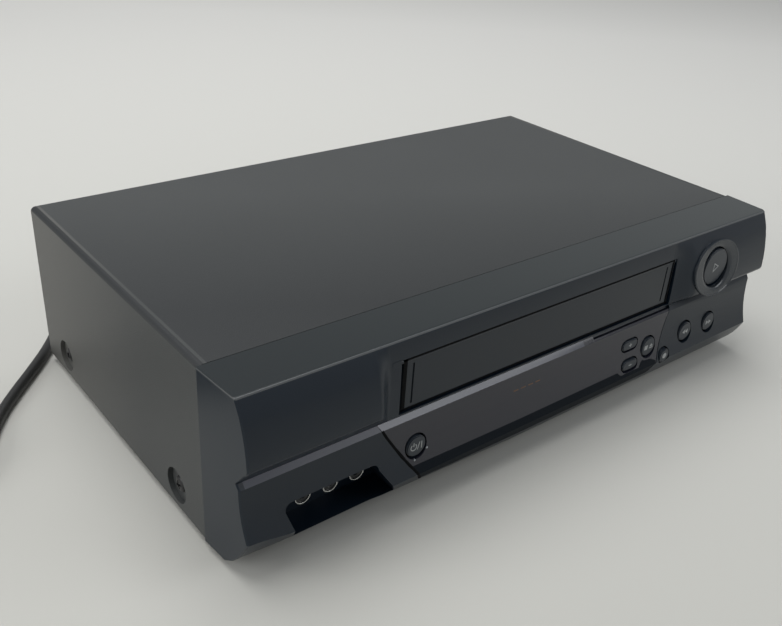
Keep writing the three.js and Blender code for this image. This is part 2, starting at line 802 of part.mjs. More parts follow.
// Feet, each with a stud pressed into the chassis
const footRadius = 9;
const footTaper = 1;
const footInset = 26;
const footStudRadius = 2;
const footPlaces = [
  ["front_left", -coverHalf + footInset, footInset],
  ["front_right", coverHalf - footInset, footInset],
  ["rear_left", -coverHalf + footInset, coverDepth - footInset],
  ["rear_right", coverHalf - footInset, coverDepth - footInset],
];

function bottomChassis() {
  const rear = rearInside - fit;
  const top = bodyBottom + chassisGauge;
  const profile = [
    [-flangeOuter, bodyBottom],
    [flangeOuter, bodyBottom],
    [flangeOuter, bodyBottom + chassisFlangeHeight],
    [flangeOuter - chassisGauge, bodyBottom + chassisFlangeHeight],
    [flangeOuter - chassisGauge, top],
    [-flangeOuter + chassisGauge, top],
    [-flangeOuter + chassisGauge, bodyBottom + chassisFlangeHeight],
    [-flangeOuter, bodyBottom + chassisFlangeHeight],
  ];
  let tray = extruded(profile, "y", chassisFrontSetback, rear);
  for (const [x, y] of boardPosts)
    tray = join(tray, rod("z", x, y, postRadius, bodyBottom, mainBoardRise - fit, 8));
  for (const [x, y] of deckPosts)
    tray = join(tray, rod("z", x, y, postRadius, bodyBottom, deckRise - fit, 8));
  for (const [, side, y] of screwPlaces) {
    const span = sideSpan(side, flangeOuter - chassisGauge - overrun, flangeOuter + overrun);
    tray = tray.subtract(rod("x", y, screwZ, screwShankRadius + fit, ...span, 12));
  }
  for (const [, x, y] of footPlaces)
    tray = tray.subtract(rod("z", x, y, footStudRadius + fit, bodyBottom - overrun, top + overrun, 12));
  for (let i = 0; i < floorVents; i++) {
    const y = supplyFront + 30 + i * ventPitch;
    const vent = rect(supplyLeft + 2 * postInset, supplyRight - 2 * postInset, y, y + ventWidth);
    tray = tray.subtract(extruded(vent, "z", bodyBottom - overrun, top + overrun));
  }
  return tray;
}
piece("bottom_chassis", bottomChassis(), finish.zincSteel);

for (const [place, x, y] of footPlaces) {
  const profile = [
    [0, 0],
    [footRadius - footTaper, 0],
    [footRadius, footTaper],
    [footRadius, footHeight],
    [footStudRadius, footHeight],
    [footStudRadius, footHeight + chassisGauge],
    [0, footHeight + chassisGauge],
  ];
  piece("foot_" + place, turned(profile, "z", 0, 0, 16), finish.blackRubber).position.set(x, y, 0);
}

// Rear panel with its sockets, and the strain relief of the mains lead
const cordX = supplyRight - 14;
const cordZ = 16;
const cordRadius = 3;
const bushingLength = 24;
const bushingRadius = 6;
const bushingCollar = 1;
const tunerLeft = bayCentre + deckHalf + 14;
const tunerRight = coverHalf - 20;
const tunerFront = rearInside - 55.5;
const tunerTop = 74;
const tunerBottom = 14;
const aerialX = (tunerLeft + tunerRight) / 2;
const aerialPlaces = [30, 52];
const aerialRadius = 4.8;
const aerialBore = 1.6;
const aerialLength = 9;
const avLeft = bayCentre + 48;
const avPitch = 17;
const avRows = [35, 52];
const avReach = 8;
const avPlaces = [0, 1, 2].flatMap((i) => avRows.map((z) => [avLeft + i * avPitch, z]));
const rearVents = 12;
const rearVentPitch = 8;
const rearVentLow = 58;
const rearVentHigh = 82;

function rearPanel() {
  const half = coverHalf - coverGauge - fit;
  const top = bodyTop - coverGauge - fit;
  const outside = coverDepth - rearPanelSetback;
  const sheet = roundedRect(-half, half, bodyBottom, top, coverBendRadius, 3);
  let panel = extruded(sheet, "y", rearInside, outside);
  const punch = (outline) => extruded(outline, "y", rearInside - overrun, outside + overrun);
  panel = panel.subtract(punch(circle(cordX, cordZ, bushingRadius - bushingCollar, 16)));
  for (const z of aerialPlaces)
    panel = panel.subtract(punch(circle(aerialX, z, aerialRadius + fit, 16)));
  for (const [x, z] of avPlaces) panel = panel.subtract(punch(circle(x, z, jackRadius + fit, 14)));
  for (let i = 0; i < rearVents; i++) {
    const x = -coverHalf + 20 + i * rearVentPitch;
    panel = panel.subtract(punch(rect(x - ventWidth / 2, x + ventWidth / 2, rearVentLow, rearVentHigh)));
  }
  return panel;
}
piece("rear_panel", rearPanel(), finish.blackSteel);

function cordBushing() {
  const seat = coverDepth - rearPanelSetback + fit;
  const neck = bushingRadius - bushingCollar - fit;
  const tip = seat + bushingLength;
  return turned(
    [
      [0, rearInside - 3],
      [neck, rearInside - 3],
      [neck, seat],
      [bushingRadius + bushingCollar, seat],
      [bushingRadius + bushingCollar, seat + 2],
      [bushingRadius, seat + 3],
      [cordRadius + bushingCollar, tip],
      [0, tip],
    ],
    "y",
    cordX,
    cordZ,
    16,
  );
}
piece("cord_bushing", cordBushing(), finish.blackRubber);

function tunerModule() {
  const can = box(tunerLeft, tunerRight, tunerFront, rearInside - fit, tunerBottom, tunerTop);
  const barrels = aerialPlaces.map((z) =>
    turned(
      [
        [0, rearInside - overrun],
        [aerialRadius, rearInside - overrun],
        [aerialRadius, coverDepth + aerialLength],
        [aerialBore, coverDepth + aerialLength],
        [aerialBore, coverDepth],
        [0, coverDepth],
      ],
      "y",
      aerialX,
      z,
      16,
    ),
  );
  return join(can, ...barrels);
}
piece("tuner_module", tunerModule(), finish.zincSteel);

const avBlockMargin = 9;
const avBlockDepth = 12;

function rearJackBlock() {
  const [low, high] = [deckTop + 1, avRows[1] + avBlockMargin];
  const right = avLeft + 2 * avPitch + avBlockMargin;
  const block = box(avLeft - avBlockMargin, right, rearInside - avBlockDepth, rearInside - fit, low, high);
  const barrels = avPlaces.map(([x, z]) =>
    turned(
      [
        [0, rearInside - overrun],
        [jackRadius, rearInside - overrun],
        [jackRadius, coverDepth + avReach],
        [jackBore, coverDepth + avReach],
        [jackBore, coverDepth + avReach / 4],
        [0, coverDepth + avReach / 4],
      ],
      "y",
      x,
      z,
      14,
    ),
  );
  return join(block, ...barrels);
}
piece("rear_jack_block", rearJackBlock(), finish.blackPlastic);

// Front sockets and their board
const jackWall = -recessBackSetback + recessWall + fit;
const jackBoardY = jackWall + jackBodySize;

function frontJack() {
  const face = -jackReach;
  const half = jackBodySize / 2;
  const barrel = turned(
    [
      [0, face + 3],
      [jackBore, face + 3],
      [jackBore, face + 1],
      [jackRadius - jackRim, face + 1],
      [jackRadius - jackRim, face],
      [jackRadius, face],
      [jackRadius, jackWall + 1],
      [0, jackWall + 1],
    ],
    "y",
    0,
    0,
    16,
  );
  return join(barrel, box(-half, half, jackWall, jackBoardY - fit, -half, half));
}
const jackNames = ["video_jack", "audio_left_jack", "audio_right_jack"];
jackPlaces.forEach((x, i) => {
  piece(jackNames[i], frontJack(), finish.brightMetal).position.set(x, 0, jackRise);
});

const jackBoardFloor = 14;
const jackBoardRight = recessRight + recessLean / 2;
const jackBoardOutline = rect(recessLeft, jackBoardRight, jackBoardFloor, recessRise + 3);
const jackBoard = extruded(jackBoardOutline, "y", jackBoardY, jackBoardY + boardGauge);
piece("front_jack_board", jackBoard, finish.circuitBoard);

// Key board: one upright board behind the fascia, with a tall switch behind each button
const keyBoardLeft = buttons.power_button.x - 8.5;
const keyBoardRight = buttons.fast_forward_button.x + 12.4;
const keyBoardLow = 13;
const keyBoardHigh = 50;
const keyEarHalf = 7;
const switchHalf = 3;
const switchHeight = 3.5;
const plungerRadius = 1.7;
const boardSink = 0.5; // how far a part's feet sink into its board

function keyBoard() {
  const face = -keyBoardSetback;
  const play = buttons.play_button;
  const earTop = play.z + keyEarHalf;
  const outline = [
    [keyBoardLeft, keyBoardLow],
    [keyBoardRight, keyBoardLow],
    [keyBoardRight, keyBoardHigh],
    [play.x + keyEarHalf, keyBoardHigh],
    [play.x + keyEarHalf, earTop],
    [play.x - keyEarHalf, earTop],
    [play.x - keyEarHalf, keyBoardHigh],
    [keyBoardLeft, keyBoardHigh],
  ];
  let board = extruded(outline, "y", face, face + boardGauge);
  for (const [name, spec] of Object.entries(buttons)) {
    const tip = buttonSeat(name, spec) + buttonFlangeDepth + buttonTravel + fit;
    const square = rect(spec.x - switchHalf, spec.x + switchHalf, spec.z - switchHalf, spec.z + switchHalf);
    const can = extruded(square, "y", face - switchHeight, face + boardSink);
    board = join(board, can, rod("y", spec.x, spec.z, plungerRadius, tip, face, 8));
  }
  return board;
}
piece("key_board", keyBoard(), finish.circuitBoard);

// Display tube: a flat glass envelope on the key board, with its raised front pane
const tubeBack = -keyBoardSetback - fit;
const paneMargin = 3;
const paneRise = 0.5;
const tubeBox = (margin, front, back) =>
  box(
    tubeCentre - tubeWidth / 2 + margin,
    tubeCentre + tubeWidth / 2 - margin,
    front,
    back,
    tubeRise - tubeHeight / 2 + (margin * 2) / 3,
    tubeRise + tubeHeight / 2 - (margin * 2) / 3,
  );
const displayTube = join(
  tubeBox(0, tubeBack - tubeDepth, tubeBack),
  tubeBox(paneMargin, tubeBack - tubeDepth - paneRise, tubeBack - 1),
);
piece("display_tube", displayTube, finish.displayGlass);

// Main board, flat over the chassis floor, with its three large chips
const chipHeight = 2.2;
const chipRow = mainBoardFront + 34;
const chips = [
  { x: mainBoardLeft + 138, y: chipRow, width: 26, depth: 14 },
  { x: mainBoardLeft + 58, y: chipRow + 10, width: 18, depth: 18 },
  { x: mainBoardRight - 48, y: chipRow, width: 30, depth: 12 },
];

function mainBoard() {
  const outline = rect(mainBoardLeft, mainBoardRight, mainBoardFront, mainBoardBack);
  const packages = chips.map(({ x, y, width, depth }) => {
    const footprint = rect(x - width / 2, x + width / 2, y - depth / 2, y + depth / 2);
    return extruded(footprint, "z", mainBoardRise + 1, mainBoardTop + chipHeight);
  });
  return join(extruded(outline, "z", mainBoardRise, mainBoardTop), ...packages);
}
piece("main_board", mainBoard(), finish.circuitBoard);

// Power supply: board with its capacitor, its finned heat sink and the transformer
const supplyFoot = mainBoardTop - boardSink;
const supplyPartHeight = 30;
const coreHeight = 26;
const coreLeftShare = 0.242;
const coreRightShare = 0.212;
const windingShare = 0.32;
const windingRise = 5;
const capacitorShare = 0.758;
const capacitorRadiusShare = 0.1667;
const sinkPitchShare = 0.0758;
const sinkFins = 5;
const finGauge = 1.5;
const sinkFront = supplyFront + 20;
const sinkBack = supplyFront + 52;
const coreFront = supplyBack - 52;
const coreBack = supplyBack - 24;
const windingOverhang = 6;

function powerSupplyBoard() {
  const slab = box(supplyLeft, supplyRight, supplyFront, supplyBack, mainBoardRise, mainBoardTop);
  const radius = supplyWidth * capacitorRadiusShare;
  const capacitor = turned(
    [
      [0, supplyFoot],
      [radius, supplyFoot],
      [radius, mainBoardTop + supplyPartHeight - 1],
      [radius - 1, mainBoardTop + supplyPartHeight],
      [0, mainBoardTop + supplyPartHeight],
    ],
    "z",
    supplyLeft + supplyWidth * capacitorShare,
    supplyFront + 24,
    16,
  );
  const sinkLeft = supplyLeft + 2;
  const sinkPitch = supplyWidth * sinkPitchShare;
  const sinkTop = mainBoardTop + supplyPartHeight;
  const fins = Array.from({ length: sinkFins }, (_, i) => {
    const left = sinkLeft + i * sinkPitch;
    return box(left, left + finGauge, sinkFront, sinkBack, supplyFoot, sinkTop);
  });
  const spineY = (sinkFront + sinkBack) / 2;
  const spineRight = sinkLeft + (sinkFins - 1) * sinkPitch + finGauge;
  const spine = box(sinkLeft, spineRight, spineY - 1, spineY + 1, supplyFoot, sinkTop);
  const coreOutline = rect(
    supplyLeft + supplyWidth * coreLeftShare,
    supplyRight - supplyWidth * coreRightShare,
    coreFront,
    coreBack,
  );
  const core = extruded(coreOutline, "z", supplyFoot, mainBoardTop + coreHeight);
  const windingOutline = rect(
    supplyLeft + supplyWidth * windingShare,
    supplyRight - supplyWidth * windingShare,
    coreFront - windingOverhang,
    coreBack + windingOverhang,
  );
  const [low, high] = [mainBoardTop + windingRise, mainBoardTop + coreHeight - windingRise];
  return join(slab, capacitor, core, extruded(windingOutline, "z", low, high), spine, ...fins);
}
piece("power_supply_board", powerSupplyBoard(), finish.circuitBoard);

// The tape deck stands in a group of its own, centred on the cassette bay
const bay = new THREE.Group();
bay.position.x = bayCentre;
assembly.add(bay);
const inBay = (name, solid, look) => piece(name, solid, look, bay);

const reelStudRadius = 2;
const reelStudHeight = 6;
const guideStudRadius = 3;
const guideStudDrop = 6;
const camStudHeight = 9;
const pinchStudHeight = 12;
const capstanBearingRadius = 5;
const shaftRadius = 2;
const slotMargin = 2 * fit;
const slotTurnMargin = 6;

const guideSlot = (side) => {
  const inner = guideArmLength - guidePostRadius - slotMargin;
  const outer = guideArmLength + guidePostRadius + slotMargin;
  const from = -guideRestAngle - slotTurnMargin;
  const to = -guideRestAngle + guideSwing + slotTurnMargin;
  const ring = [
    ...arc(0, guidePivotSetback, outer, from, to, 6),
    ...arc(0, guidePivotSetback, inner, to, from, 6),
  ];
  return ring.map(([x, y]) => [side * x, y]);
};

const deckWindowInner = 30;
const deckWindowOuter = 70;
const deckWindowBack = deckFront + 24;

function mechanismDeck() {
  const window = (from, to) => roundedRect(from, to, deckFront + 6, deckWindowBack, 4, 3);
  const holes = [
    guideSlot(1),
    guideSlot(-1),
    circle(capstanX, capstanY, capstanBearingRadius + fit, 16),
    circle(0, clutchSetback, shaftRadius + fit, 12),
    window(-deckWindowOuter, -deckWindowInner),
    window(deckWindowInner, deckWindowOuter),
  ];
  const plate = roundedRect(-deckHalf, deckHalf, deckFront, deckBack, 3, 3);
  let deck = extruded(plate, "z", deckRise, deckTop, holes);
  const studs = [
    [-reelSpacing / 2, reelSetback, reelStudRadius, reelStudHeight],
    [reelSpacing / 2, reelSetback, reelStudRadius, reelStudHeight],
    [camX, camY, reelStudRadius, camStudHeight],
    [pinchPivotX, pinchPivotY, shaftRadius, pinchStudHeight],
    [tensionX, tensionY, shaftRadius, reelStudHeight],
  ];
  for (const [x, y, radius, height] of studs)
    deck = join(deck, rod("z", x, y, radius, deckRise, deckTop + height, 12));
  const guideStud = rod("z", 0, guidePivotSetback, guideStudRadius, deckRise - guideStudDrop, deckTop, 16);
  return join(deck, guideStud);
}
inBay("mechanism_deck", mechanismDeck(), finish.zincSteel);

// Head drum, leaning forward on its base
const drumStand = 4;
const drumEdge = 1;
const drumHubRadius = 12;
const drumFootRadius = 26;
const drumFootHeight = drumStand + 6;
const drum = new THREE.Group();
drum.position.set(0, drumSetback, deckTop + drumStand);
drum.rotation.x = THREE.MathUtils.degToRad(drumTilt);
bay.add(drum);

function lowerDrum() {
  const body = turned(
    [
      [0, 0],
      [drumRadius, 0],
      [drumRadius, lowerDrumHeight - 2 * drumEdge],
      [drumRadius - drumEdge, lowerDrumHeight - 2 * drumEdge],
      [drumRadius - drumEdge, lowerDrumHeight],
      [drumShaftRadius, lowerDrumHeight],
      [drumShaftRadius, lowerDrumHeight + upperDrumHeight + drumMotorHeight],
      [0, lowerDrumHeight + upperDrumHeight + drumMotorHeight],
    ],
    "z",
    0,
    0,
    32,
  );
  const upright = new THREE.CylinderGeometry(drumFootRadius, drumFootRadius, drumFootHeight, 24);
  upright.rotateX(Math.PI / 2).translate(0, 0, drumFootHeight / 2 - drumStand + fit);
  upright.rotateX(-drum.rotation.x);
  return join(body, solidOf(upright));
}
piece("lower_drum", lowerDrum(), finish.brightMetal, drum);

function upperDrum() {
  const low = lowerDrumHeight + fit;
  const top = low + upperDrumHeight - fit;
  const bore = drumShaftRadius + fit;
  return turned(
    [
      [bore, low],
      [drumRadius, low],
      [drumRadius, top - drumEdge],
      [drumRadius - drumEdge, top],
      [drumHubRadius, top],
      [drumHubRadius, top - 3 * drumEdge],
      [bore, top - 3 * drumEdge],
      [bore, low],
    ],
    "z",
    0,
    0,
    32,
  );
}
piece("upper_drum", upperDrum(), finish.brightMetal, drum);

function drumMotor() {
  const low = lowerDrumHeight + upperDrumHeight + fit;
  const top = low + drumMotorHeight;
  const bore = drumShaftRadius + fit;
  return turned(
    [
      [bore, low],
      [drumMotorRadius, low],
      [drumMotorRadius, top - drumEdge],
      [drumMotorRadius - drumEdge, top],
      [drumHubRadius, top],
      [drumHubRadius, top - drumEdge],
      [bore, top - drumEdge],
      [bore, low],
    ],
    "z",
    0,
    0,
    24,
  );
}
piece("drum_motor_rotor", drumMotor(), finish.zincSteel, drum);

// Reel tables with their splined hubs
const hubStep = 1.5;
const hubFinHalf = 0.9;
const hubTaper = 4;

function reelTable() {
  const low = deckTop + fit;
  const bore = reelStudRadius + fit;
  const boreTop = deckTop + reelStudHeight + fit;
  const hubTop = low + reelDiscHeight + reelHubHeight;
  const body = turned(
    [
      [bore, low],
      [reelDiscRadius, low],
      [reelDiscRadius, low + reelDiscHeight],
      [reelHubRadius + hubStep, low + reelDiscHeight],
      [reelHubRadius + hubStep, low + reelDiscHeight + 2 * hubStep],
      [reelHubRadius - hubStep, low + reelDiscHeight + 2 * hubStep],
      [reelHubRadius - hubStep, hubTop - hubTaper],
      [hubStep, hubTop],
      [0, hubTop],
      [0, boreTop],
      [bore, boreTop],
      [bore, low],
    ],
    "z",
    0,
    0,
    24,
  );
  const finOutline = rect(reelHubRadius - 2 * hubStep, reelHubRadius, -hubFinHalf, hubFinHalf);
  const fins = [0, 120, 240].map((turn) => {
    const fin = extruded(finOutline, "z", low + reelDiscHeight, hubTop - hubTaper - 1);
    return fin.rotate([0, 0, turn]);
  });
  return join(body, ...fins);
}
inBay("supply_reel_table", reelTable(), finish.whitePlastic).position.set(-reelSpacing / 2, reelSetback, 0);
inBay("takeup_reel_table", reelTable(), finish.whitePlastic).position.set(reelSpacing / 2, reelSetback, 0);

// Loading arms that carry the tape guides round the drum, one running just above the other
const leverGauge = 1.5;
const guideLip = 0.5;
const guidePostHeight = 26;
const guideFlangeHeight = 3;
const supplyGuideDrop = 5.5;
const takeupGuideDrop = 3.2;

function guideArm(side, low) {
  const tipX = guideArmLength * Math.cos(THREE.MathUtils.degToRad(guideRestAngle));
  const tipY = -guideArmLength * Math.sin(THREE.MathUtils.degToRad(guideRestAngle));
  const bar = slot(0, 0, tipX, tipY, guideStudRadius + 2.5, 6);
  const arm = extruded(bar, "z", low, low + leverGauge);
  const eye = rod("z", 0, 0, guideStudRadius + fit, low - overrun, low + leverGauge + overrun, 16);
  const postTop = deckTop + guidePostHeight;
  const post = turned(
    [
      [0, low],
      [guidePostRadius, low],
      [guidePostRadius, deckTop + fit],
      [guidePostRadius + 2, deckTop + fit],
      [guidePostRadius + 2, deckTop + guideFlangeHeight],
      [guidePostRadius - guideLip, deckTop + guideFlangeHeight],
      [guidePostRadius - guideLip, postTop - 2],
      [guidePostRadius + guideLip, postTop - 2],
      [guidePostRadius + guideLip, postTop],
      [0, postTop],
    ],
    "z",
    tipX,
    tipY,
    20,
  );
  const made = join(arm.subtract(eye), post);
  return side < 0 ? made.mirror([1, 0, 0]) : made;
}
for (const [name, side, drop] of [
  ["supply_guide_arm", -1, supplyGuideDrop],
  ["takeup_guide_arm", 1, takeupGuideDrop],
])
  inBay(name, guideArm(side, deckRise - drop), finish.greyPlastic).position.set(0, guidePivotSetback, 0);

// Capstan with its flywheel and pulley, turning in a bearing on the deck
const flywheelRise = mainBoardTop + 1;
const pulleyRise = flywheelRise + flywheelHeight;
const beltRoom = 0.6;
const beltMargin = 0.5;

const pulleyProfile = (radius, low, height) => [
  [radius, low],
  [radius, low + beltRoom],
  [radius - beltGauge, low + beltRoom + fit],
  [radius - beltGauge, low + height - beltRoom - fit],
  [radius, low + height - beltRoom],
  [radius, low + height],
];

const capstanRotor = turned(
  [
    [0, flywheelRise],
    [flywheelRadius, flywheelRise],
    [flywheelRadius, pulleyRise],
    ...pulleyProfile(capstanPulleyRadius, pulleyRise, pulleyHeight),
    [capstanRadius, pulleyRise + pulleyHeight],
    [capstanRadius, capstanTop],
    [0, capstanTop],
  ],
  "z",
  0,
  0,
  24,
);
inBay("capstan_rotor", capstanRotor, finish.zincSteel).position.set(capstanX, capstanY, 0);

const bearingLow = pulleyRise + pulleyHeight + fit;
const bearingLip = 3;
const bearingHeight = 5;
const capstanBearing = turned(
  [
    [capstanRadius + fit, bearingLow],
    [capstanBearingRadius + bearingLip, bearingLow],
    [capstanBearingRadius + bearingLip, deckRise - fit],
    [capstanBearingRadius, deckRise - fit],
    [capstanBearingRadius, deckTop + bearingLip],
    [2 * capstanRadius, deckTop + bearingHeight],
    [capstanRadius + fit, deckTop + bearingHeight],
    [capstanRadius + fit, bearingLow],
  ],
  "z",
  0,
  0,
  24,
);
inBay("capstan_bearing", capstanBearing, finish.ferriteBrown).position.set(capstanX, capstanY, 0);

// Clutch pulley: the belt turns it, and its drive disc turns the idler wheel
const idlerRadius = 12;
const idlerArmLength = 27.7;
const driveDiscRadius = idlerArmLength - idlerRadius - fit;
const discLow = deckTop + fit;
const discTop = discLow + reelDiscHeight;
const clutchPulley = turned(
  [
    [0, pulleyRise],
    ...pulleyProfile(clutchPulleyRadius, pulleyRise, pulleyHeight),
    [shaftRadius, pulleyRise + pulleyHeight],
    [shaftRadius, discLow],
    [driveDiscRadius, discLow],
    [driveDiscRadius, discTop],
    [shaftRadius, discTop],
    [shaftRadius, discTop + 3],
    [0, discTop + 3],
  ],
  "z",
  0,
  0,
  24,
);
inBay("clutch_pulley", clutchPulley, finish.whitePlastic).position.set(0, clutchSetback, 0);

function driveBelt() {
  const dx = capstanX;
  const dy = capstanY - clutchSetback;
  const span = Math.hypot(dx, dy);
  const heading = THREE.MathUtils.radToDeg(Math.atan2(dy, dx));
  const lean = THREE.MathUtils.radToDeg(Math.asin((clutchPulleyRadius - capstanPulleyRadius) / span));
  const loop = (grow) => [
    ...arc(capstanX, capstanY, capstanPulleyRadius + grow, heading - 90 + lean, heading + 90 - lean, 12),
    ...arc(0, clutchSetback, clutchPulleyRadius + grow, heading + 90 - lean, heading + 270 + lean, 16),
  ];
  const low = pulleyRise + beltRoom + beltMargin;
  const high = pulleyRise + pulleyHeight - beltRoom - beltMargin;
  return extruded(loop(fit + beltGauge), "z", low, high, [loop(fit)]);
}
inBay("capstan_belt", driveBelt(), finish.blackRubber);

// Idler: a rubber-tyred wheel on a swinging arm, between the two reel tables
const pinRadius = 1.5;
const idlerHubRadius = 4;
const tyreInset = 1;

function idlerArm() {
  const low = discTop + fit;
  const high = low + leverGauge;
  const plate = extruded(slot(0, 0, 0, idlerArmLength, 5, 8), "z", low, high);
  const eye = rod("z", 0, 0, shaftRadius + fit, low - overrun, high + overrun, 16);
  return join(plate.subtract(eye), rod("z", 0, idlerArmLength, pinRadius, discLow, high, 16));
}
inBay("idler_arm", idlerArm(), finish.zincSteel).position.set(0, clutchSetback, 0);

const idlerWheel = turned(
  [
    [pinRadius + fit, discLow],
    [idlerHubRadius, discLow],
    [idlerHubRadius, discLow + tyreInset],
    [idlerRadius, discLow + tyreInset],
    [idlerRadius, discTop - tyreInset / 2],
    [pinRadius + fit, discTop - tyreInset / 2],
    [pinRadius + fit, discLow],
  ],
  "z",
  0,
  0,
  20,
);
inBay("idler_wheel", idlerWheel, finish.blackRubber).position.set(0, clutchSetback + idlerArmLength, 0);

// Pinch roller on its arm
const pinchArmLength = 21.4;
const pinchPressAngle = 217.7;
const pinchRestAngle = pinchPressAngle + pinchSwing;
const pinchRest = [
  pinchArmLength * Math.cos(THREE.MathUtils.degToRad(pinchRestAngle)),
  pinchArmLength * Math.sin(THREE.MathUtils.degToRad(pinchRestAngle)),
];

const pinchPlateRise = 6;
const pinchPlateGauge = 2;

function pinchArm() {
  const low = deckTop + pinchPlateRise;
  const high = low + pinchPlateGauge;
  const plate = extruded(slot(0, 0, ...pinchRest, 4, 8), "z", low, high);
  const hub = rod("z", 0, 0, 5, deckTop + fit, high, 20);
  const eye = rod("z", 0, 0, shaftRadius + fit, deckTop, high + overrun, 16);
  const pin = rod("z", ...pinchRest, pinRadius, low, high + pinchRollerHeight + 2, 16);
  return join(join(plate, hub).subtract(eye), pin);
}
inBay("pinch_arm", pinchArm(), finish.zincSteel).position.set(pinchPivotX, pinchPivotY, 0);

const pinchLow = deckTop + pinchPlateRise + pinchPlateGauge + fit;
const pinchRoller = turned(
  [
    [pinRadius + fit, pinchLow],
    [pinchRollerRadius, pinchLow],
    [pinchRollerRadius, pinchLow + pinchRollerHeight],
    [pinRadius + fit, pinchLow + pinchRollerHeight],
    [pinRadius + fit, pinchLow],
  ],
  "z",
  0,
  0,
  24,
);
const pinchRollerMesh = inBay("pinch_roller", pinchRoller, finish.blackRubber);
pinchRollerMesh.position.set(pinchPivotX + pinchRest[0], pinchPivotY + pinchRest[1], 0);

// Fixed heads on their posts
const headHeight = 24;
const headHalfDepth = 3.5;
const headBaseHeight = 2;
const headBaseMargin = 2;

function tapeHead(width) {
  const [baseHalf, baseDepth] = [width / 2 + headBaseMargin, headHalfDepth + headBaseMargin / 2];
  const plate = roundedRect(-baseHalf, baseHalf, -baseDepth, baseDepth, 2, 3);
  const block = roundedRect(-width / 2, width / 2, -headHalfDepth, headHalfDepth, 2, 3);
  const base = extruded(plate, "z", deckTop, deckTop + headBaseHeight);
  return join(base, extruded(block, "z", deckTop + headBaseHeight / 2, deckTop + headHeight));
}
inBay("erase_head", tapeHead(6), finish.brightMetal).position.set(-48, drumSetback - 36, 0);
const audioHead = inBay("audio_control_head", tapeHead(5), finish.brightMetal);
audioHead.position.set(53, drumSetback - 7, 0);

// Back-tension arm
const tensionReach = [25, 12];
const tensionPostHeight = 22;

function tensionArm() {
  const low = deckTop + fit;
  const high = low + leverGauge;
  const plate = extruded(slot(0, 0, ...tensionReach, 3.5, 8), "z", low, high);
  const eye = rod("z", 0, 0, shaftRadius + fit, low - overrun, high + overrun, 16);
  const post = rod("z", ...tensionReach, pinRadius, low, deckTop + tensionPostHeight, 12);
  return join(plate.subtract(eye), post);
}
inBay("tension_arm", tensionArm(), finish.zincSteel).position.set(tensionX, tensionY, 0);

// Cam gear and the motor whose worm drives it
const camRadius = 18;
const camTeeth = 24;
const camTooth = 1.4;
const camLow = deckTop + fit;
const camBottomHeight = 4;
const camGearHeight = 4;
const camBottomRadius = 15;

function camGear() {
  const teeth = [];
  for (let i = 0; i < camTeeth; i++)
    for (const [share, radius] of [
      [0, camRadius - camTooth],
      [0.25, camRadius - camTooth],
      [0.4, camRadius],
      [0.85, camRadius],
    ]) {
      const angle = ((i + share) / camTeeth) * 2 * Math.PI;
      teeth.push([radius * Math.cos(angle), radius * Math.sin(angle)]);
    }
  const low = camLow + camBottomHeight;
  const gear = extruded(teeth, "z", low, low + camGearHeight);
  const cam = rod("z", 0, 0, camBottomRadius, camLow, low + 1, 20);
  const bore = rod("z", 0, 0, reelStudRadius + fit, camLow - overrun, low + camGearHeight + overrun, 16);
  return join(gear, cam).subtract(bore);
}
inBay("cam_gear", camGear(), finish.whitePlastic).position.set(camX, camY, 0);

const wormRadius = 3.6;
const wormZ = camLow + camBottomHeight + camGearHeight / 2;
const wormY = camY + camRadius + wormRadius + fit;
const motorRadius = 5.8;

const motorBack = -32;
const motorFront = -10;
const wormStart = -8;
const wormPitch = 2.6;
const wormDepth = 1.4;
const wormRidges = 5;
const ridgeShares = [0.35, 0.6, 0.9];

function loadingMotor() {
  const profile = [
    [0, motorBack],
    [motorRadius, motorBack],
    [motorRadius, motorFront],
    [3, motorFront],
    [3, wormStart],
  ];
  const [rise, crest, fall] = ridgeShares.map((share) => share * wormPitch);
  for (let i = 0; i < wormRidges; i++) {
    const start = wormStart + i * wormPitch;
    profile.push([wormRadius - wormDepth, start], [wormRadius, start + rise]);
    profile.push([wormRadius, start + crest], [wormRadius - wormDepth, start + fall]);
  }
  profile.push([0, wormStart + wormRidges * wormPitch]);
  const saddle = box(motorBack + 2, motorFront - 2, -5, 5, deckTop - wormZ, 0);
  return join(turned(profile, "x", 0, 0, 12), saddle);
}
inBay("loading_motor", loadingMotor(), finish.zincSteel).position.set(camX, wormY, wormZ);

// Cassette carriage: fixed side brackets, a sliding frame and the holder that sinks in it
const sliderPinRadius = 1.4;
const sliderPinSetbacks = [8, 29];
const sliderPinRise = 78;
const lowerPinRise = 48;
const lowerPinSetback = 18.5;
const sliderFront = 4;
const sliderBack = 33;
const sliderBottom = 42;
const sliderTop = 86.5;
const sliderBarHeight = 2;
const holderFloor = 55;
const holderTop = 82.8;
const holderFront = 1;
const holderBack = 36;
const holderPinSetbacks = [11, 26];
const holderPinRise = 66;
const cassetteDrop = 20;
const cassetteTravel = drumSetback - drumRadius - holderBack - 1;
const ledgeInner = holderHalf - 25.4;
const bracketFront = 0.5;
const bracketBack = sliderPinSetbacks[1] + cassetteTravel + 15;
const bridgeFront = 44;
const bridgeBack = 60;
const bridgeRise = 88;
const bracketWindow = [54, 70]; // heights of the lightening holes in the brackets
const bracketWindowLength = (bracketBack - 40) / 2;
const bracketWindowFronts = [16, bracketWindowLength + 28];

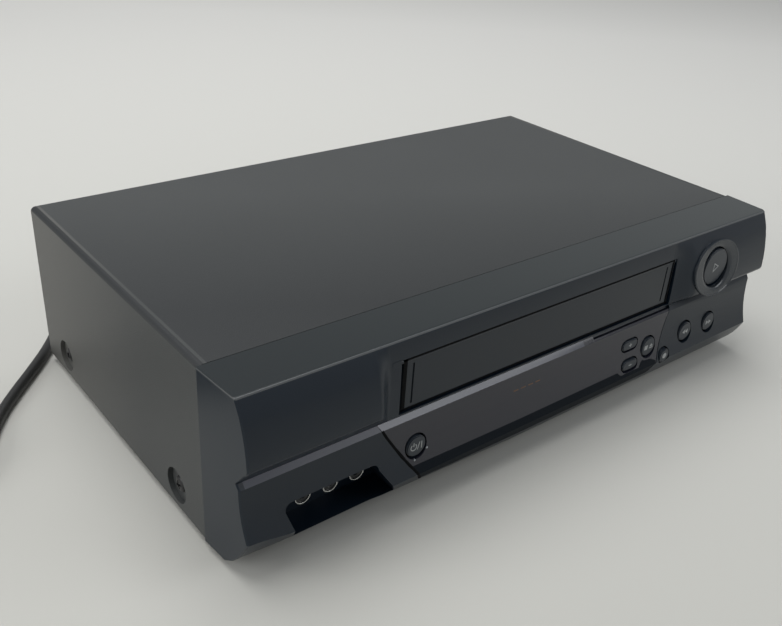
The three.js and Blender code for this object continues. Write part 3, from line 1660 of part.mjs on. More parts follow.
function carriageFrame() {
  const room = sliderPinRadius + runningFit;
  const outline = rect(bracketFront, bracketBack, deckTop, bridgeRise + carriageSheet);
  const track = (from, to, z) => slot(from, z, to + cassetteTravel, z, room, 6);
  const holes = bracketWindowFronts.map((y) =>
    roundedRect(y, y + bracketWindowLength, ...bracketWindow, 4, 3),
  );
  holes.push(track(...sliderPinSetbacks, sliderPinRise), track(lowerPinSetback, lowerPinSetback, lowerPinRise));
  const plates = bothSides.map((side) => {
    const span = sideSpan(side, bracketInner, bracketInner + carriageSheet);
    return extruded(outline, "x", ...span, holes);
  });
  const reach = bracketInner + carriageSheet;
  const bridge = box(-reach, reach, bridgeFront, bridgeBack, bridgeRise, bridgeRise + carriageSheet);
  return join(bridge, ...plates);
}
inBay("carriage_frame", carriageFrame(), finish.zincSteel);

function carriageSlider() {
  const room = sliderPinRadius + runningFit;
  const reach = sliderInner + carriageSheet;
  const parts = bothSides.map((side) => {
    const span = sideSpan(side, sliderInner, reach);
    const holes = holderPinSetbacks.map((y) =>
      slot(y, holderPinRise - cassetteDrop, y, holderPinRise, room, 6),
    );
    const plate = extruded(rect(sliderFront, sliderBack, sliderBottom, sliderTop), "x", ...span, holes);
    const pinSpan = sideSpan(side, sliderInner + carriageSheet / 2, bracketInner + carriageSheet);
    const pins = [
      ...sliderPinSetbacks.map((y) => rod("x", y, sliderPinRise, sliderPinRadius, ...pinSpan, 12)),
      rod("x", lowerPinSetback, lowerPinRise, sliderPinRadius, ...pinSpan, 12),
    ];
    return join(plate, ...pins);
  });
  const bar = box(-reach, reach, sliderFront + 10, sliderFront + 18, sliderTop - sliderBarHeight, sliderTop);
  return join(bar, ...parts);
}
inBay("carriage_slider", carriageSlider(), finish.zincSteel);

function cassetteHolder() {
  const half = holderHalf;
  const inside = half - holderSheet;
  const shell = extruded(rect(-half, half, holderFloor, holderTop), "y", holderFront, holderBack, [
    rect(-inside, inside, holderFloor + holderSheet, holderTop - holderSheet),
  ]);
  const openTop = holderFloor + holderSheet + 1;
  const [openFront, openBack] = [holderFront + 9, holderBack + overrun];
  const open = box(-ledgeInner, ledgeInner, openFront, openBack, holderFloor - overrun, openTop);
  const windowLow = holderTop - holderSheet - 1;
  const window = box(-50, 50, holderFront + 10, holderBack - 8, windowLow, holderTop + overrun);
  let holder = cut(shell, open, window);
  for (const side of bothSides) {
    const stop = sideSpan(side, inside - 14.4, inside - 4.4);
    holder = join(holder, box(...stop, holderBack - holderSheet, holderBack, holderTop - 8, holderTop));
    const pinSpan = sideSpan(side, half - holderSheet / 2, sliderInner + carriageSheet);
    for (const y of holderPinSetbacks)
      holder = join(holder, rod("x", y, holderPinRise, sliderPinRadius, ...pinSpan, 12));
  }
  return holder;
}
inBay("cassette_holder", cassetteHolder(), finish.zincSteel);

// Mains lead: a free stretch on the table, a coil of the rest, and its plug
const leadLength = 1800;
const cordLift = cordRadius + 0.1;
const bushingTip = coverDepth - rearPanelSetback + fit + bushingLength;
const cordRoute = [
  [-120, bushingTip + fit, 16],
  [-120, bushingTip + 2, 16],
  [-120, 217, 14.8],
  [-121.5, 225, 11.5],
  [-126.5, 234, 7],
  [-135, 239, 4],
  [-146, 236, cordLift],
  [-157, 226, cordLift],
  [-169, 209, cordLift],
  [-181, 192, cordLift],
  [-196, 174, cordLift],
  [-210, 158, cordLift],
  [-222, 143, cordLift],
  [-230, 130.5, cordLift],
];
const coilPitch = 2 * cordRadius + 0.6;
const coilTurns = 7.42; // ends on the side away from the recorder
const coilStartAngle = -30;
const coilSteps = 24;
const coilSides = 6;
const coilRunIn = 2 * cordRadius;
const coilRunOut = 22;
const coilGate = new THREE.Vector3(-236.8, 119.4, cordLift);

// The cord comes in along the coil's tangent and stops a fit's width short of it
const startAngle = THREE.MathUtils.degToRad(coilStartAngle);
const inward = new THREE.Vector3(Math.sin(startAngle), -Math.cos(startAngle), 0);
const cordPoints = cordRoute.map((p) => new THREE.Vector3(...p));
cordPoints.push(coilGate.clone().addScaledVector(inward, -fit));
const cordCurve = new THREE.CatmullRomCurve3(cordPoints, false, "centripetal");
const freeLength = cordCurve.getLength();

// The inner radius at which the turns hold the rest of the lead
const layerTurns = coilTurns / 2;
const coilLength = leadLength - freeLength - coilRunIn - coilRunOut;
const coilInner = coilLength / (4 * Math.PI * layerTurns) - (coilPitch * layerTurns) / 2;
const coilOuter = coilInner + coilPitch * layerTurns;
const coilCentre = coilGate
  .clone()
  .addScaledVector(inward, coilRunIn)
  .sub(new THREE.Vector3(coilOuter * Math.cos(startAngle), coilOuter * Math.sin(startAngle), 0));

function coilPoint(turn) {
  const radius = coilInner + coilPitch * Math.abs(layerTurns - turn);
  const angle = startAngle - 2 * Math.PI * turn;
  const climb = coilPitch * ramp(turn, layerTurns - 0.25, layerTurns + 0.25);
  return coilCentre.clone().add(new THREE.Vector3(radius * Math.cos(angle), radius * Math.sin(angle), climb));
}

function coilPath() {
  const total = 2 * layerTurns;
  const count = Math.ceil(total * coilSteps);
  const points = Array.from({ length: count + 1 }, (_, i) => coilPoint((total * i) / count));
  const runOut = points.at(-1).clone().sub(points.at(-2)).setLength(coilRunOut);
  return [coilGate, ...points, points.at(-1).clone().add(runOut)];
}

// The least distance between stretches of a path that are more than a quarter turn apart, less the tube
function leastSelfGap(points) {
  let least = Infinity;
  for (let i = 0; i < points.length; i++)
    for (let j = i + coilSteps / 4; j < points.length; j++)
      least = Math.min(least, points[i].distanceTo(points[j]));
  return least - 2 * cordRadius;
}

function tubeAlong(points, radius, sides) {
  const up = new THREE.Vector3(0, 0, 1);
  const positions = [];
  const index = [];
  points.forEach((point, i) => {
    const [before, after] = [points[Math.max(i - 1, 0)], points[Math.min(i + 1, points.length - 1)]];
    const ahead = after.clone().sub(before).normalize();
    const across = new THREE.Vector3().crossVectors(up, ahead).normalize();
    const above = new THREE.Vector3().crossVectors(ahead, across);
    for (let k = 0; k < sides; k++) {
      const angle = (2 * Math.PI * k) / sides;
      const out = across.clone().multiplyScalar(Math.cos(angle)).addScaledVector(above, Math.sin(angle));
      positions.push(...point.clone().addScaledVector(out, radius).toArray());
    }
  });
  for (let i = 0; i + 1 < points.length; i++)
    for (let k = 0; k < sides; k++) {
      const a = i * sides + k;
      const b = i * sides + ((k + 1) % sides);
      index.push(a, b, a + sides, b, b + sides, a + sides);
    }
  const last = (points.length - 1) * sides;
  for (let k = 1; k + 1 < sides; k++) index.push(0, k + 1, k, last, last + k, last + k + 1);
  return indexed(positions, index);
}

const coil = coilPath();
console.log("coil: inner radius " + coilInner.toFixed(1) + " mm");
console.log("coil: least gap to itself " + leastSelfGap(coil).toFixed(2) + " mm");
console.log("lead: " + freeLength.toFixed(1) + " mm free of " + leadLength);
piece("power_cord_coil", tubeAlong(coil, cordRadius, coilSides), finish.blackRubber);

function powerCord() {
  const ring = new THREE.Shape(circle(0, 0, cordRadius, 10).map(([u, v]) => new THREE.Vector2(u, v)));
  const steps = Math.ceil(freeLength / (5 * cordRadius));
  return solidOf(new THREE.ExtrudeGeometry(ring, { extrudePath: cordCurve, steps, bevelEnabled: false }));
}
piece("power_cord", powerCord(), finish.blackRubber);

function powerPlug() {
  const sleeve = turned(
    [
      [0, 0],
      [cordRadius + 1, 0],
      [cordRadius + 2.5, 12],
      [0, 12],
    ],
    "x",
    0,
    0,
    16,
  );
  const body = extruded(roundedRect(-6, 6, -9.4, 9.4, 3, 4), "x", 11, 36);
  const blades = [-6.35, 6.35].map((z) => box(34, 52, -0.8, 0.8, z - 3.2, z + 3.2));
  return join(sleeve, body, ...blades);
}
const plug = piece("power_plug", powerPlug(), finish.blackPlastic);
const plugFrom = coil.at(-1);
const plugHeading = coil.at(-1).clone().sub(coil.at(-2)).normalize();
plug.rotation.z = Math.atan2(plugHeading.y, plugHeading.x);
plug.position.copy(plugFrom).addScaledVector(plugHeading, fit);

// Origin under the middle of the recorder
const root = new THREE.Group();
root.add(assembly);
assembly.position.y = -(coverDepth + aerialLength - bulgeReach) / 2;

export default root;
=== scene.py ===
import math

import bpy
from mathutils import Matrix, Vector


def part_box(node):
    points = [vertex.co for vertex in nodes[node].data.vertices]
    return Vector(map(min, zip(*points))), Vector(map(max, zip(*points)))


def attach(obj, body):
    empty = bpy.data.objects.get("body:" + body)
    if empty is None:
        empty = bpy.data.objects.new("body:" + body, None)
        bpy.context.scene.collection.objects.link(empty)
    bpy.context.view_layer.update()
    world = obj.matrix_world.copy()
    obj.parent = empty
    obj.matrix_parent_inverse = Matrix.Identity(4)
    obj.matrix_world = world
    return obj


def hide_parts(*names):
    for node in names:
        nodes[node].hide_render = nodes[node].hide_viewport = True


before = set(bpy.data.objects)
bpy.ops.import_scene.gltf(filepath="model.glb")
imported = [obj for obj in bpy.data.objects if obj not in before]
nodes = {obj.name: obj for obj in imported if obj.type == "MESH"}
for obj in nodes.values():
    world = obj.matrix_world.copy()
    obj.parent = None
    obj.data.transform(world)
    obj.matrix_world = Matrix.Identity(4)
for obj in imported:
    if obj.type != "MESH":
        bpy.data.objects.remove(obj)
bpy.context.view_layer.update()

# Camera: the photograph looks down on the recorder from its front left corner,
# with a normal lens a little over half a metre away.
def placed(name, data):
    """A new object in the scene."""
    thing = bpy.data.objects.new(name, data)
    bpy.context.scene.collection.objects.link(thing)
    return thing


camera_place = Vector((-0.3123, -0.35285, 0.2852))
camera_ahead = Vector((0.5635, 0.6705, -0.4825)).normalized()
camera_right = Vector((0.7845, -0.6174, 0.0582))
camera_up = camera_right.cross(camera_ahead).normalized()
camera_right = camera_ahead.cross(camera_up).normalized()
camera_data = bpy.data.cameras.new("camera")
camera_data.lens = 41.33
camera_data.sensor_width = 36.0
camera = placed("camera", camera_data)
camera_axes = Matrix((camera_right, camera_up, -camera_ahead)).transposed()
camera.matrix_world = Matrix.Translation(camera_place) @ camera_axes.to_4x4()
bpy.context.scene.camera = camera


# Mains lead: 1.8 m of round black flex. It leaves the rear panel through its
# strain relief, curves down to the table and round the left side, and the
# length that isn't seen is wound into a flat coil of two layers.
def shader_node(tree, kind, **settings):
    """A node whose inputs are given as values, or as the outputs that feed them."""
    made = tree.nodes.new("ShaderNode" + kind)
    for name, value in settings.items():
        socket = made.inputs[name.replace("_", " ")]
        if isinstance(value, bpy.types.NodeSocket):
            tree.links.new(value, socket)
        else:
            socket.default_value = value
    return made


def texture_on(material, kind, **settings):
    """A procedural texture in the object's own coordinates, inside a finish."""
    tree = material.node_tree
    place = tree.nodes["Texture Coordinate"].outputs["Object"]
    return shader_node(tree, "Tex" + kind, Vector=place, **settings)


def mixed(tree, share, first, second):
    """A blend of two colours, each given as it is or as the output that gives it."""
    blend = tree.nodes.new("ShaderNodeMix")
    blend.data_type = "RGBA"
    tree.links.new(share, blend.inputs[0])
    for socket, colour in ((blend.inputs[6], first), (blend.inputs[7], second)):
        if isinstance(colour, tuple):
            socket.default_value = (*colour, 1.0)
        else:
            tree.links.new(colour, socket)
    return blend.outputs[2]


def surface(name, colour, shade, roughness, metallic=0.0, grain=900.0, relief=0.03, mottle=60.0, shine=0.5):
    """A finish with slow colour mottling, a fine grain in its gloss and a matching relief."""
    material = bpy.data.materials.new(name)
    material.use_nodes = True
    tree = material.node_tree
    shader = tree.nodes["Principled BSDF"]
    shader.inputs["Metallic"].default_value = metallic
    shader.inputs["Specular IOR Level"].default_value = shine
    shader_node(tree, "TexCoord")
    mottling = texture_on(material, "Noise", Scale=mottle, Detail=4.0)
    tree.links.new(mixed(tree, mottling.outputs["Fac"], colour, shade), shader.inputs["Base Color"])
    speckle = texture_on(material, "Noise", Scale=grain, Detail=3.0).outputs["Fac"]
    low, high = max(0.02, roughness * 0.85), min(1.0, roughness * 1.15)
    gloss = shader_node(tree, "MapRange", Value=speckle, To_Min=low, To_Max=high)
    tree.links.new(gloss.outputs["Result"], shader.inputs["Roughness"])
    bump = shader_node(tree, "Bump", Height=speckle, Strength=relief, Distance=0.0002)
    tree.links.new(bump.outputs["Normal"], shader.inputs["Normal"])
    return material


thin_edge, usual_edge, wide_edge = 0.0002, 0.0003, 0.0004


def dress(piece, material, edge=0.0, angle=35.0):
    """Gives a piece its finish; a CAD node also gets merged faces and rounded edges."""
    piece.data.materials.clear()
    piece.data.materials.append(material)
    piece.data.polygons.foreach_set("use_smooth", [True] * len(piece.data.polygons))
    if piece.name in nodes:
        weld = piece.modifiers.new("merged", "WELD")
        weld.merge_threshold = 0.000002
        plain = piece.modifiers.new("flat_faces", "DECIMATE")
        plain.decimate_type = "DISSOLVE"
        plain.angle_limit = math.radians(0.4)
        plain.delimit = {"MATERIAL"}
    if edge:
        bevel = piece.modifiers.new("edges", "BEVEL")
        bevel.width = edge
        bevel.segments = 2
        bevel.limit_method = "ANGLE"
        bevel.angle_limit = math.radians(angle)
    split = piece.modifiers.new("creases", "EDGE_SPLIT")
    split.split_angle = math.radians(angle if not edge else 50.0)
    evened = piece.modifiers.new("even_shading", "WEIGHTED_NORMAL")
    evened.keep_sharp = True


def belongs(piece, colour_slot, *solids, body="recorder"):
    """Gives a finished piece its body and hides the solids that it stands for; its slot is not used."""
    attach(piece, body)
    if solids:
        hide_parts(*solids)


def finished(piece, material, colour_slot, *solids, body="recorder"):
    """Dresses a piece of the scene and says where it belongs."""
    dress(piece, material)
    belongs(piece, colour_slot, *solids, body=body)


cord_radius, cord_height = 0.003, 0.0031
cord_exit = Vector((-0.12, 0.12945, 0.016))
cord_route = [
    (-0.12, 0.12975, 0.016), (-0.12, 0.13145, 0.016), (-0.12, 0.13665, 0.0148),
    (-0.1215, 0.14465, 0.0115), (-0.1265, 0.15365, 0.007), (-0.135, 0.15865, 0.004),
    (-0.146, 0.15565, cord_height), (-0.157, 0.14565, cord_height), (-0.169, 0.12865, cord_height),
    (-0.181, 0.11165, cord_height), (-0.196, 0.09365, cord_height), (-0.21, 0.07765, cord_height),
    (-0.222, 0.06265, cord_height), (-0.23, 0.05015, cord_height), (-0.2368, 0.03905, cord_height),
]
coil_centre = Vector((-0.27965, 0.05686, cord_height))
coil_turns, coil_pitch, coil_inner = 7.42, 0.0066, 0.02153
coil_start, coil_steps, coil_climb = math.radians(-30.0), 18, 0.5
coil_climb_from = coil_turns / 2 - coil_climb / 2
lead_tail = 0.022


def coil_point(turn):
    """Spirals in on the table, steps up one layer and spirals out again."""
    radius = coil_inner + coil_pitch * abs(coil_turns / 2 - turn)
    angle = coil_start - 2 * math.pi * turn
    share = min(1.0, max(0.0, (turn - coil_climb_from) / coil_climb))
    rise = coil_pitch * share * share * (3 - 2 * share)
    return coil_centre + Vector((radius * math.cos(angle), radius * math.sin(angle), rise))


coil_count = math.ceil(coil_turns * coil_steps)
lead_points = [Vector(point) for point in cord_route]
lead_points += [coil_point(coil_turns * i / coil_count) for i in range(coil_count + 1)]
lead_heading = (coil_point(coil_turns) - coil_point(coil_turns - 0.02)).normalized()
lead_end = coil_point(coil_turns) + lead_heading * lead_tail
lead_points.append(lead_end)
lead_curve = bpy.data.curves.new("mains_lead", "CURVE")
lead_curve.dimensions = "3D"
lead_curve.bevel_depth = cord_radius
lead_curve.bevel_resolution = 4
lead_curve.resolution_u = 3
lead_curve.use_fill_caps = True
lead_line = lead_curve.splines.new("BEZIER")
lead_line.bezier_points.add(len(lead_points) - 1)
for knot, point in zip(lead_line.bezier_points, lead_points):
    knot.co = point
    knot.handle_left_type = knot.handle_right_type = "AUTO"
mains_lead = placed("mains_lead", lead_curve)
lead_rubber = surface("lead_rubber", (0.012, 0.012, 0.012), (0.02, 0.02, 0.019), 0.5, grain=1500.0)
mains_lead.data.materials.append(lead_rubber)
belongs(mains_lead, "black_rubber", "power_cord", "power_cord_coil")


# Plug: a moulded black two-pole plug with grip ribs, a ribbed sleeve round
# the lead and two flat brass blades, each with its hole.
def none_selected():
    if bpy.context.mode != "OBJECT":
        bpy.ops.object.mode_set(mode="OBJECT")
    bpy.ops.object.select_all(action="DESELECT")


def only_selected(piece):
    none_selected()
    piece.select_set(True)
    bpy.context.view_layer.objects.active = piece


def fixed(piece):
    """Puts a piece's place, turn and size into its mesh."""
    only_selected(piece)
    bpy.ops.object.transform_apply(location=True, rotation=True, scale=True)
    return piece


def settle(piece, name):
    """Names a finished piece, with its place in its mesh."""
    fixed(piece)
    piece.name = name
    piece.data.name = name
    return piece


def apply_modifiers(piece):
    only_selected(piece)
    for modifier in list(piece.modifiers):
        bpy.ops.object.modifier_apply(modifier=modifier.name)


def cut_away(piece, cutter):
    """Takes a cutter's shape out of a piece, and the cutter out of the scene."""
    cut = piece.modifiers.new("cut", "BOOLEAN")
    cut.object = cutter
    cut.operation = "DIFFERENCE"
    cut.solver = "EXACT"
    apply_modifiers(piece)
    bpy.data.objects.remove(cutter)


def block(x0, x1, y0, y1, z0, z1, edge=0.0, segments=3):
    """A box between two corners, its edges rounded in edit mode."""
    none_selected()
    bpy.ops.mesh.primitive_cube_add(size=1.0, location=((x0 + x1) / 2, (y0 + y1) / 2, (z0 + z1) / 2))
    piece = bpy.context.active_object
    piece.scale = (abs(x1 - x0), abs(y1 - y0), abs(z1 - z0))
    fixed(piece)
    if edge:
        bpy.ops.object.mode_set(mode="EDIT")
        bpy.ops.mesh.select_all(action="SELECT")
        bpy.ops.mesh.bevel(offset=edge, segments=segments, affect="EDGES")
        bpy.ops.object.mode_set(mode="OBJECT")
    return piece


def turned_rings(profile, steps=32):
    """A round piece along +Z: a disc extruded ring by ring through (radius, height) steps."""
    none_selected()
    bpy.ops.mesh.primitive_circle_add(vertices=steps, radius=profile[0][0], fill_type="NGON")
    piece = bpy.context.active_object
    piece.location.z = profile[0][1]
    fixed(piece)
    bpy.ops.object.mode_set(mode="EDIT")
    bpy.ops.mesh.select_all(action="SELECT")
    radius, height = profile[0]
    for next_radius, next_height in profile[1:]:
        bpy.ops.mesh.extrude_region_move()
        bpy.ops.transform.translate(value=(0.0, 0.0, next_height - height))
        share = next_radius / radius
        bpy.ops.transform.resize(value=(share, share, 1.0), center_override=(0.0, 0.0, next_height))
        radius, height = next_radius, next_height
    bpy.ops.mesh.select_all(action="SELECT")
    bpy.ops.mesh.normals_make_consistent(inside=False)
    bpy.ops.object.mode_set(mode="OBJECT")
    return piece


def joined(pieces, name):
    none_selected()
    for piece in pieces:
        piece.select_set(True)
    bpy.context.view_layer.objects.active = pieces[0]
    bpy.ops.object.join()
    return settle(pieces[0], name)


def aim(piece, matrix):
    """Carries a piece modelled at the origin to its place."""
    piece.matrix_world = matrix
    return fixed(piece)


def quarter(axis, turns=1):
    """Some quarter turns about an axis."""
    return Matrix.Rotation(math.radians(90.0 * turns), 4, axis)


plug_up = Vector((0.0, 0.0, 1.0))
plug_heading = Vector((lead_heading.x, lead_heading.y, 0.0)).normalized()
plug_axes = Matrix((plug_heading, plug_up.cross(plug_heading), plug_up)).transposed()
plug_gap = 0.0003
plug_place = Matrix.Translation(lead_end + lead_heading * plug_gap) @ plug_axes.to_4x4()
rib_count, rib_first, rib_pitch, rib_radius, rib_growth = 4, 0.0006, 0.0029, 0.0041, 0.0004
sleeve_groove = 0.0007
sleeve_profile = [(0.0036, 0.0)]
for rib in range(rib_count):
    step = rib_first + rib * rib_pitch
    size = rib_radius + rib * rib_growth
    sleeve_profile += [(size, step), (size, step + 0.0017)]
    sleeve_profile += [(size - sleeve_groove, step + 0.002), (size - sleeve_groove, step + 0.0027)]
sleeve_profile += [(0.0052, 0.0125)]
plug_sleeve = aim(turned_rings(sleeve_profile, 24), plug_place @ quarter("Y"))
plug_length, plug_thick, plug_wide, plug_round = (0.011, 0.036), (-0.006, 0.006), (-0.0094, 0.0094), 0.0022
plug_body = aim(block(*plug_length, *plug_thick, *plug_wide, plug_round), plug_place)
grip_thick, grip_wide = (-0.0062, 0.0062), (-0.0072, 0.0072)
grip_first, grip_width, grip_pitch = 0.0155, 0.0018, 0.0036
plug_grips = []
for i in range(rib_count):
    at = grip_first + i * grip_pitch
    plug_grips.append(aim(block(at, at + grip_width, *grip_thick, *grip_wide, 0.0004, 2), plug_place))
plug_moulding = joined([plug_body, plug_sleeve, *plug_grips], "plug_moulding")
plug_plastic = surface("plug_plastic", (0.014, 0.014, 0.014), (0.022, 0.022, 0.021), 0.42, grain=1300.0)
finished(plug_moulding, plug_plastic, "black_plastic", "power_plug")

blade_offset, blade_half_width, blade_half_thick = 0.00635, 0.0032, 0.0008
blade_from, blade_to, blade_hole = 0.034, 0.052, 0.0475
plug_blades = []
for side in (-blade_offset, blade_offset):
    thick = (-blade_half_thick, blade_half_thick)
    blade = block(blade_from, blade_to, *thick, side - blade_half_width, side + blade_half_width, 0.0003, 2)
    hole = turned_rings([(0.0012, -0.002), (0.0012, 0.002)], 20)
    cut_away(blade, aim(hole, Matrix.Translation((blade_hole, 0.0, side)) @ quarter("X")))
    plug_blades.append(aim(blade, plug_place))
plug_pins = joined(plug_blades, "plug_pins")
brass = surface("brass", (0.62, 0.45, 0.2), (0.5, 0.35, 0.15), 0.28, metallic=1.0, grain=700.0)
finished(plug_pins, brass, "bright_metal", "power_plug")

# Strain relief: a tapered rubber sleeve with open ribs, snapped into the rear
# panel, that keeps the lead from kinking where it comes out.
relief_start, relief_first_rib, relief_pitch = 0.0983, 0.1086, 0.0033
relief_profile = [
    (0.0047, relief_start), (0.0047, 0.1049), (0.007, 0.1052), (0.007, 0.1072), (0.006, 0.108),
]
relief_ribs = 6
relief_groove, relief_radius, relief_taper = 0.0011, 0.0059, 0.00028
for rib in range(relief_ribs):
    start = relief_first_rib + rib * relief_pitch
    size = relief_radius - rib * relief_taper
    relief_profile += [(size - relief_groove, start), (size - relief_groove, start + 0.0011)]
    relief_profile += [(size, start + 0.0013), (size, start + 0.0028)]
relief_profile += [(0.0038, 0.1289), (0.0034, 0.1293)]
relief_place = Matrix.Translation((cord_exit.x, 0.0, cord_exit.z)) @ quarter("X", -1)
strain_relief = settle(aim(turned_rings(relief_profile, 28), relief_place), "strain_relief")
finished(strain_relief, lead_rubber, "black_rubber", "cord_bushing")

# Top cover: one folded steel sheet, sprayed dark grey with a fine dry texture,
# pressed in round its four side screws. A painted shadow line runs along the folds,
# the flat top has painted shade toward the front left, and the sides are painted
# a little darker, with painted light toward their rear.
def marked_faces(piece, material, low, high):
    """Gives the faces of a piece that lie between two corners a finish of their own."""
    piece.data.materials.append(material)
    index = len(piece.data.materials) - 1
    for face in piece.data.polygons:
        if all(low[k] <= face.center[k] <= high[k] for k in range(3)):
            face.material_index = index


def worked_out(tree, operation, first, second=None):
    """One step of arithmetic between sockets or numbers."""
    step = tree.nodes.new("ShaderNodeMath")
    step.operation = operation
    for socket, value in zip(step.inputs, (first, second)):
        if isinstance(value, float):
            socket.default_value = value
        elif value:
            tree.links.new(value, socket)
    return step.outputs[0]


def between_values(tree, value, low, high):
    """One where a value lies between two limits, and nothing elsewhere."""
    above = worked_out(tree, "GREATER_THAN", value, low)
    return worked_out(tree, "MULTIPLY", above, worked_out(tree, "LESS_THAN", value, high))


def ranged(tree, value, low, high):
    """Nothing at one value, one at another, and a share in between."""
    return shader_node(tree, "MapRange", Value=value, From_Min=low, From_Max=high).outputs["Result"]


def distance_along(tree, direction):
    """How far a point of the object lies along a direction."""
    dot = tree.nodes.new("ShaderNodeVectorMath")
    dot.operation = "DOT_PRODUCT"
    dot.inputs[1].default_value = direction
    tree.links.new(tree.nodes["Texture Coordinate"].outputs["Object"], dot.inputs[0])
    return dot.outputs["Value"]


def tinted_where(material, colour, mask, *others):
    """Lays another colour over a finish wherever all the masks are one."""
    tree = material.node_tree
    for other in others:
        mask = worked_out(tree, "MULTIPLY", mask, other)
    base = tree.nodes["Principled BSDF"].inputs["Base Color"]
    tree.links.new(mixed(tree, mask, base.links[0].from_socket, colour), base)


def axes_of(material):
    """The object's own x, y and z, inside a finish."""
    tree = material.node_tree
    place = tree.nodes["Texture Coordinate"].outputs["Object"]
    return shader_node(tree, "SeparateXYZ", Vector=place).outputs


def carved(material, height, strength, distance):
    """Adds a second relief to a finish, on top of its own."""
    tree = material.node_tree
    under = tree.nodes["Bump"].outputs["Normal"]
    relief = shader_node(tree, "Bump", Height=height, Strength=strength, Distance=distance, Normal=under)
    tree.links.new(relief.outputs["Normal"], tree.nodes["Principled BSDF"].inputs["Normal"])


far = 1.0
top_from, fold_from = 0.0925, 0.0922
side_from, fold_side_from = 0.1755, 0.1770
top_shade_direction, top_shade_from, top_shade_full_at = (0.5, 1.0, 0.0), 0.03, -0.12
side_light_from, side_light_full_at = -0.02, 0.085
cover_edge = 0.0005
cover_paint = surface(
    "cover_paint", (0.047, 0.05, 0.05), (0.054, 0.058, 0.058), 0.52, grain=2600.0, relief=0.3, mottle=14.0
)
cover_tree = cover_paint.node_tree
cover_x, cover_y, cover_z = axes_of(cover_paint)
carved(cover_paint, texture_on(cover_paint, "Voronoi", Scale=1400.0).outputs["Distance"], 0.22, 0.0002)
# Painted shade: the flat top is painted darker toward the front left.
painted_top_shade = ranged(cover_tree, distance_along(cover_tree, top_shade_direction), top_shade_from, top_shade_full_at)
flat_top = between_values(cover_tree, cover_z, top_from, far)
tinted_where(cover_paint, (0.017, 0.0195, 0.021), painted_top_shade, flat_top)
from_middle = worked_out(cover_tree, "ABSOLUTE", cover_x)
cover_side = between_values(cover_tree, from_middle, side_from, far)
# Painted shade: the sides are painted a little darker than the top.
tinted_where(cover_paint, (0.044, 0.047, 0.047), cover_side)
# Painted light: the sides are painted lighter toward the rear.
painted_side_light = ranged(cover_tree, cover_y, side_light_from, side_light_full_at)
tinted_where(cover_paint, (0.09, 0.09, 0.084), painted_side_light, cover_side)
# Painted shadow: a dark line is painted along the folds.
cover_fold = between_values(cover_tree, from_middle, fold_side_from, far)
fold_height = between_values(cover_tree, cover_z, fold_from, far)
tinted_where(cover_paint, (0.014, 0.0165, 0.018), cover_fold, fold_height)
dress(nodes["top_cover"], cover_paint, cover_edge)

# Cover screws: black steel, domed heads with a pressed cross, driven through
# the dished places in the cover's sides into the chassis flange.
black_steel = surface(
    "black_steel", (0.018, 0.018, 0.019), (0.028, 0.028, 0.029), 0.36, metallic=0.4, grain=2200.0, relief=0.12
)


def cross_screw(head, height, shank, length):
    """A screw along +Z with its seat at zero: shank, domed head and a cross cut into it."""
    profile = [(shank * 0.7, -length), (shank, -length + shank * 0.4)]
    turns = int(length / (shank * 0.9))
    for turn in range(turns):
        along = -length + shank * 0.4 + turn * (length - shank * 0.6) / turns
        pitch = (length - shank * 0.6) / turns
        profile += [(shank * 0.8, along + pitch * 0.25), (shank, along + pitch * 0.5)]
        profile += [(shank, along + pitch * 0.7)]
    profile += [(shank * 0.8, -0.0001), (head * 0.96, 0.0), (head, height * 0.12), (head, height * 0.3)]
    for angle in (18, 36, 54, 72, 84):
        turn = math.radians(angle)
        profile.append((head * (0.08 + 0.92 * math.cos(turn)), height * (0.3 + 0.7 * math.sin(turn))))
    screw = turned_rings(profile, 28)
    for turns in (0, 1):
        wing = block(-head * 0.56, head * 0.56, -head * 0.13, head * 0.13, height * 0.35, height * 1.4)
        cut_away(screw, aim(wing, quarter("Z", turns)))
    return screw


def copied(model, place):
    """A copy of a modelled piece, with its own mesh, carried to its place."""
    twin = model.copy()
    twin.data = model.data.copy()
    bpy.context.scene.collection.objects.link(twin)
    return aim(twin, place)


def turned_to(x, y, z, axis, spin=0.0):
    """The place of something modelled along +Z that is to point along another axis."""
    turns = {
        "-x": quarter("Y", -1),
        "+x": quarter("Y"),
        "-y": quarter("X"),
        "+y": quarter("X", -1),
        "+z": Matrix.Identity(4),
        "-z": quarter("X", 2),
    }
    return Matrix.Translation((x, y, z)) @ turns[axis] @ Matrix.Rotation(math.radians(spin), 4, "Z")


def middle_of(low, high):
    return [(a + b) / 2 for a, b in zip(low, high)]


screw_seat = 0.1775
cover_screw_model = cross_screw(0.004, 0.0017, 0.0015, 0.0054)
for node_name, spin in (
    ("cover_screw_left_front", 20.0),
    ("cover_screw_left_rear", 65.0),
    ("cover_screw_right_front", 48.0),
    ("cover_screw_right_rear", 5.0),
):
    x, y, z = middle_of(*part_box(node_name))
    place = turned_to(math.copysign(screw_seat, x), y, z, "+x" if x > 0 else "-x", spin)
    screw = settle(copied(cover_screw_model, place), node_name + "_driven")
    finished(screw, black_steel, "black_steel", node_name)
bpy.data.objects.remove(cover_screw_model)
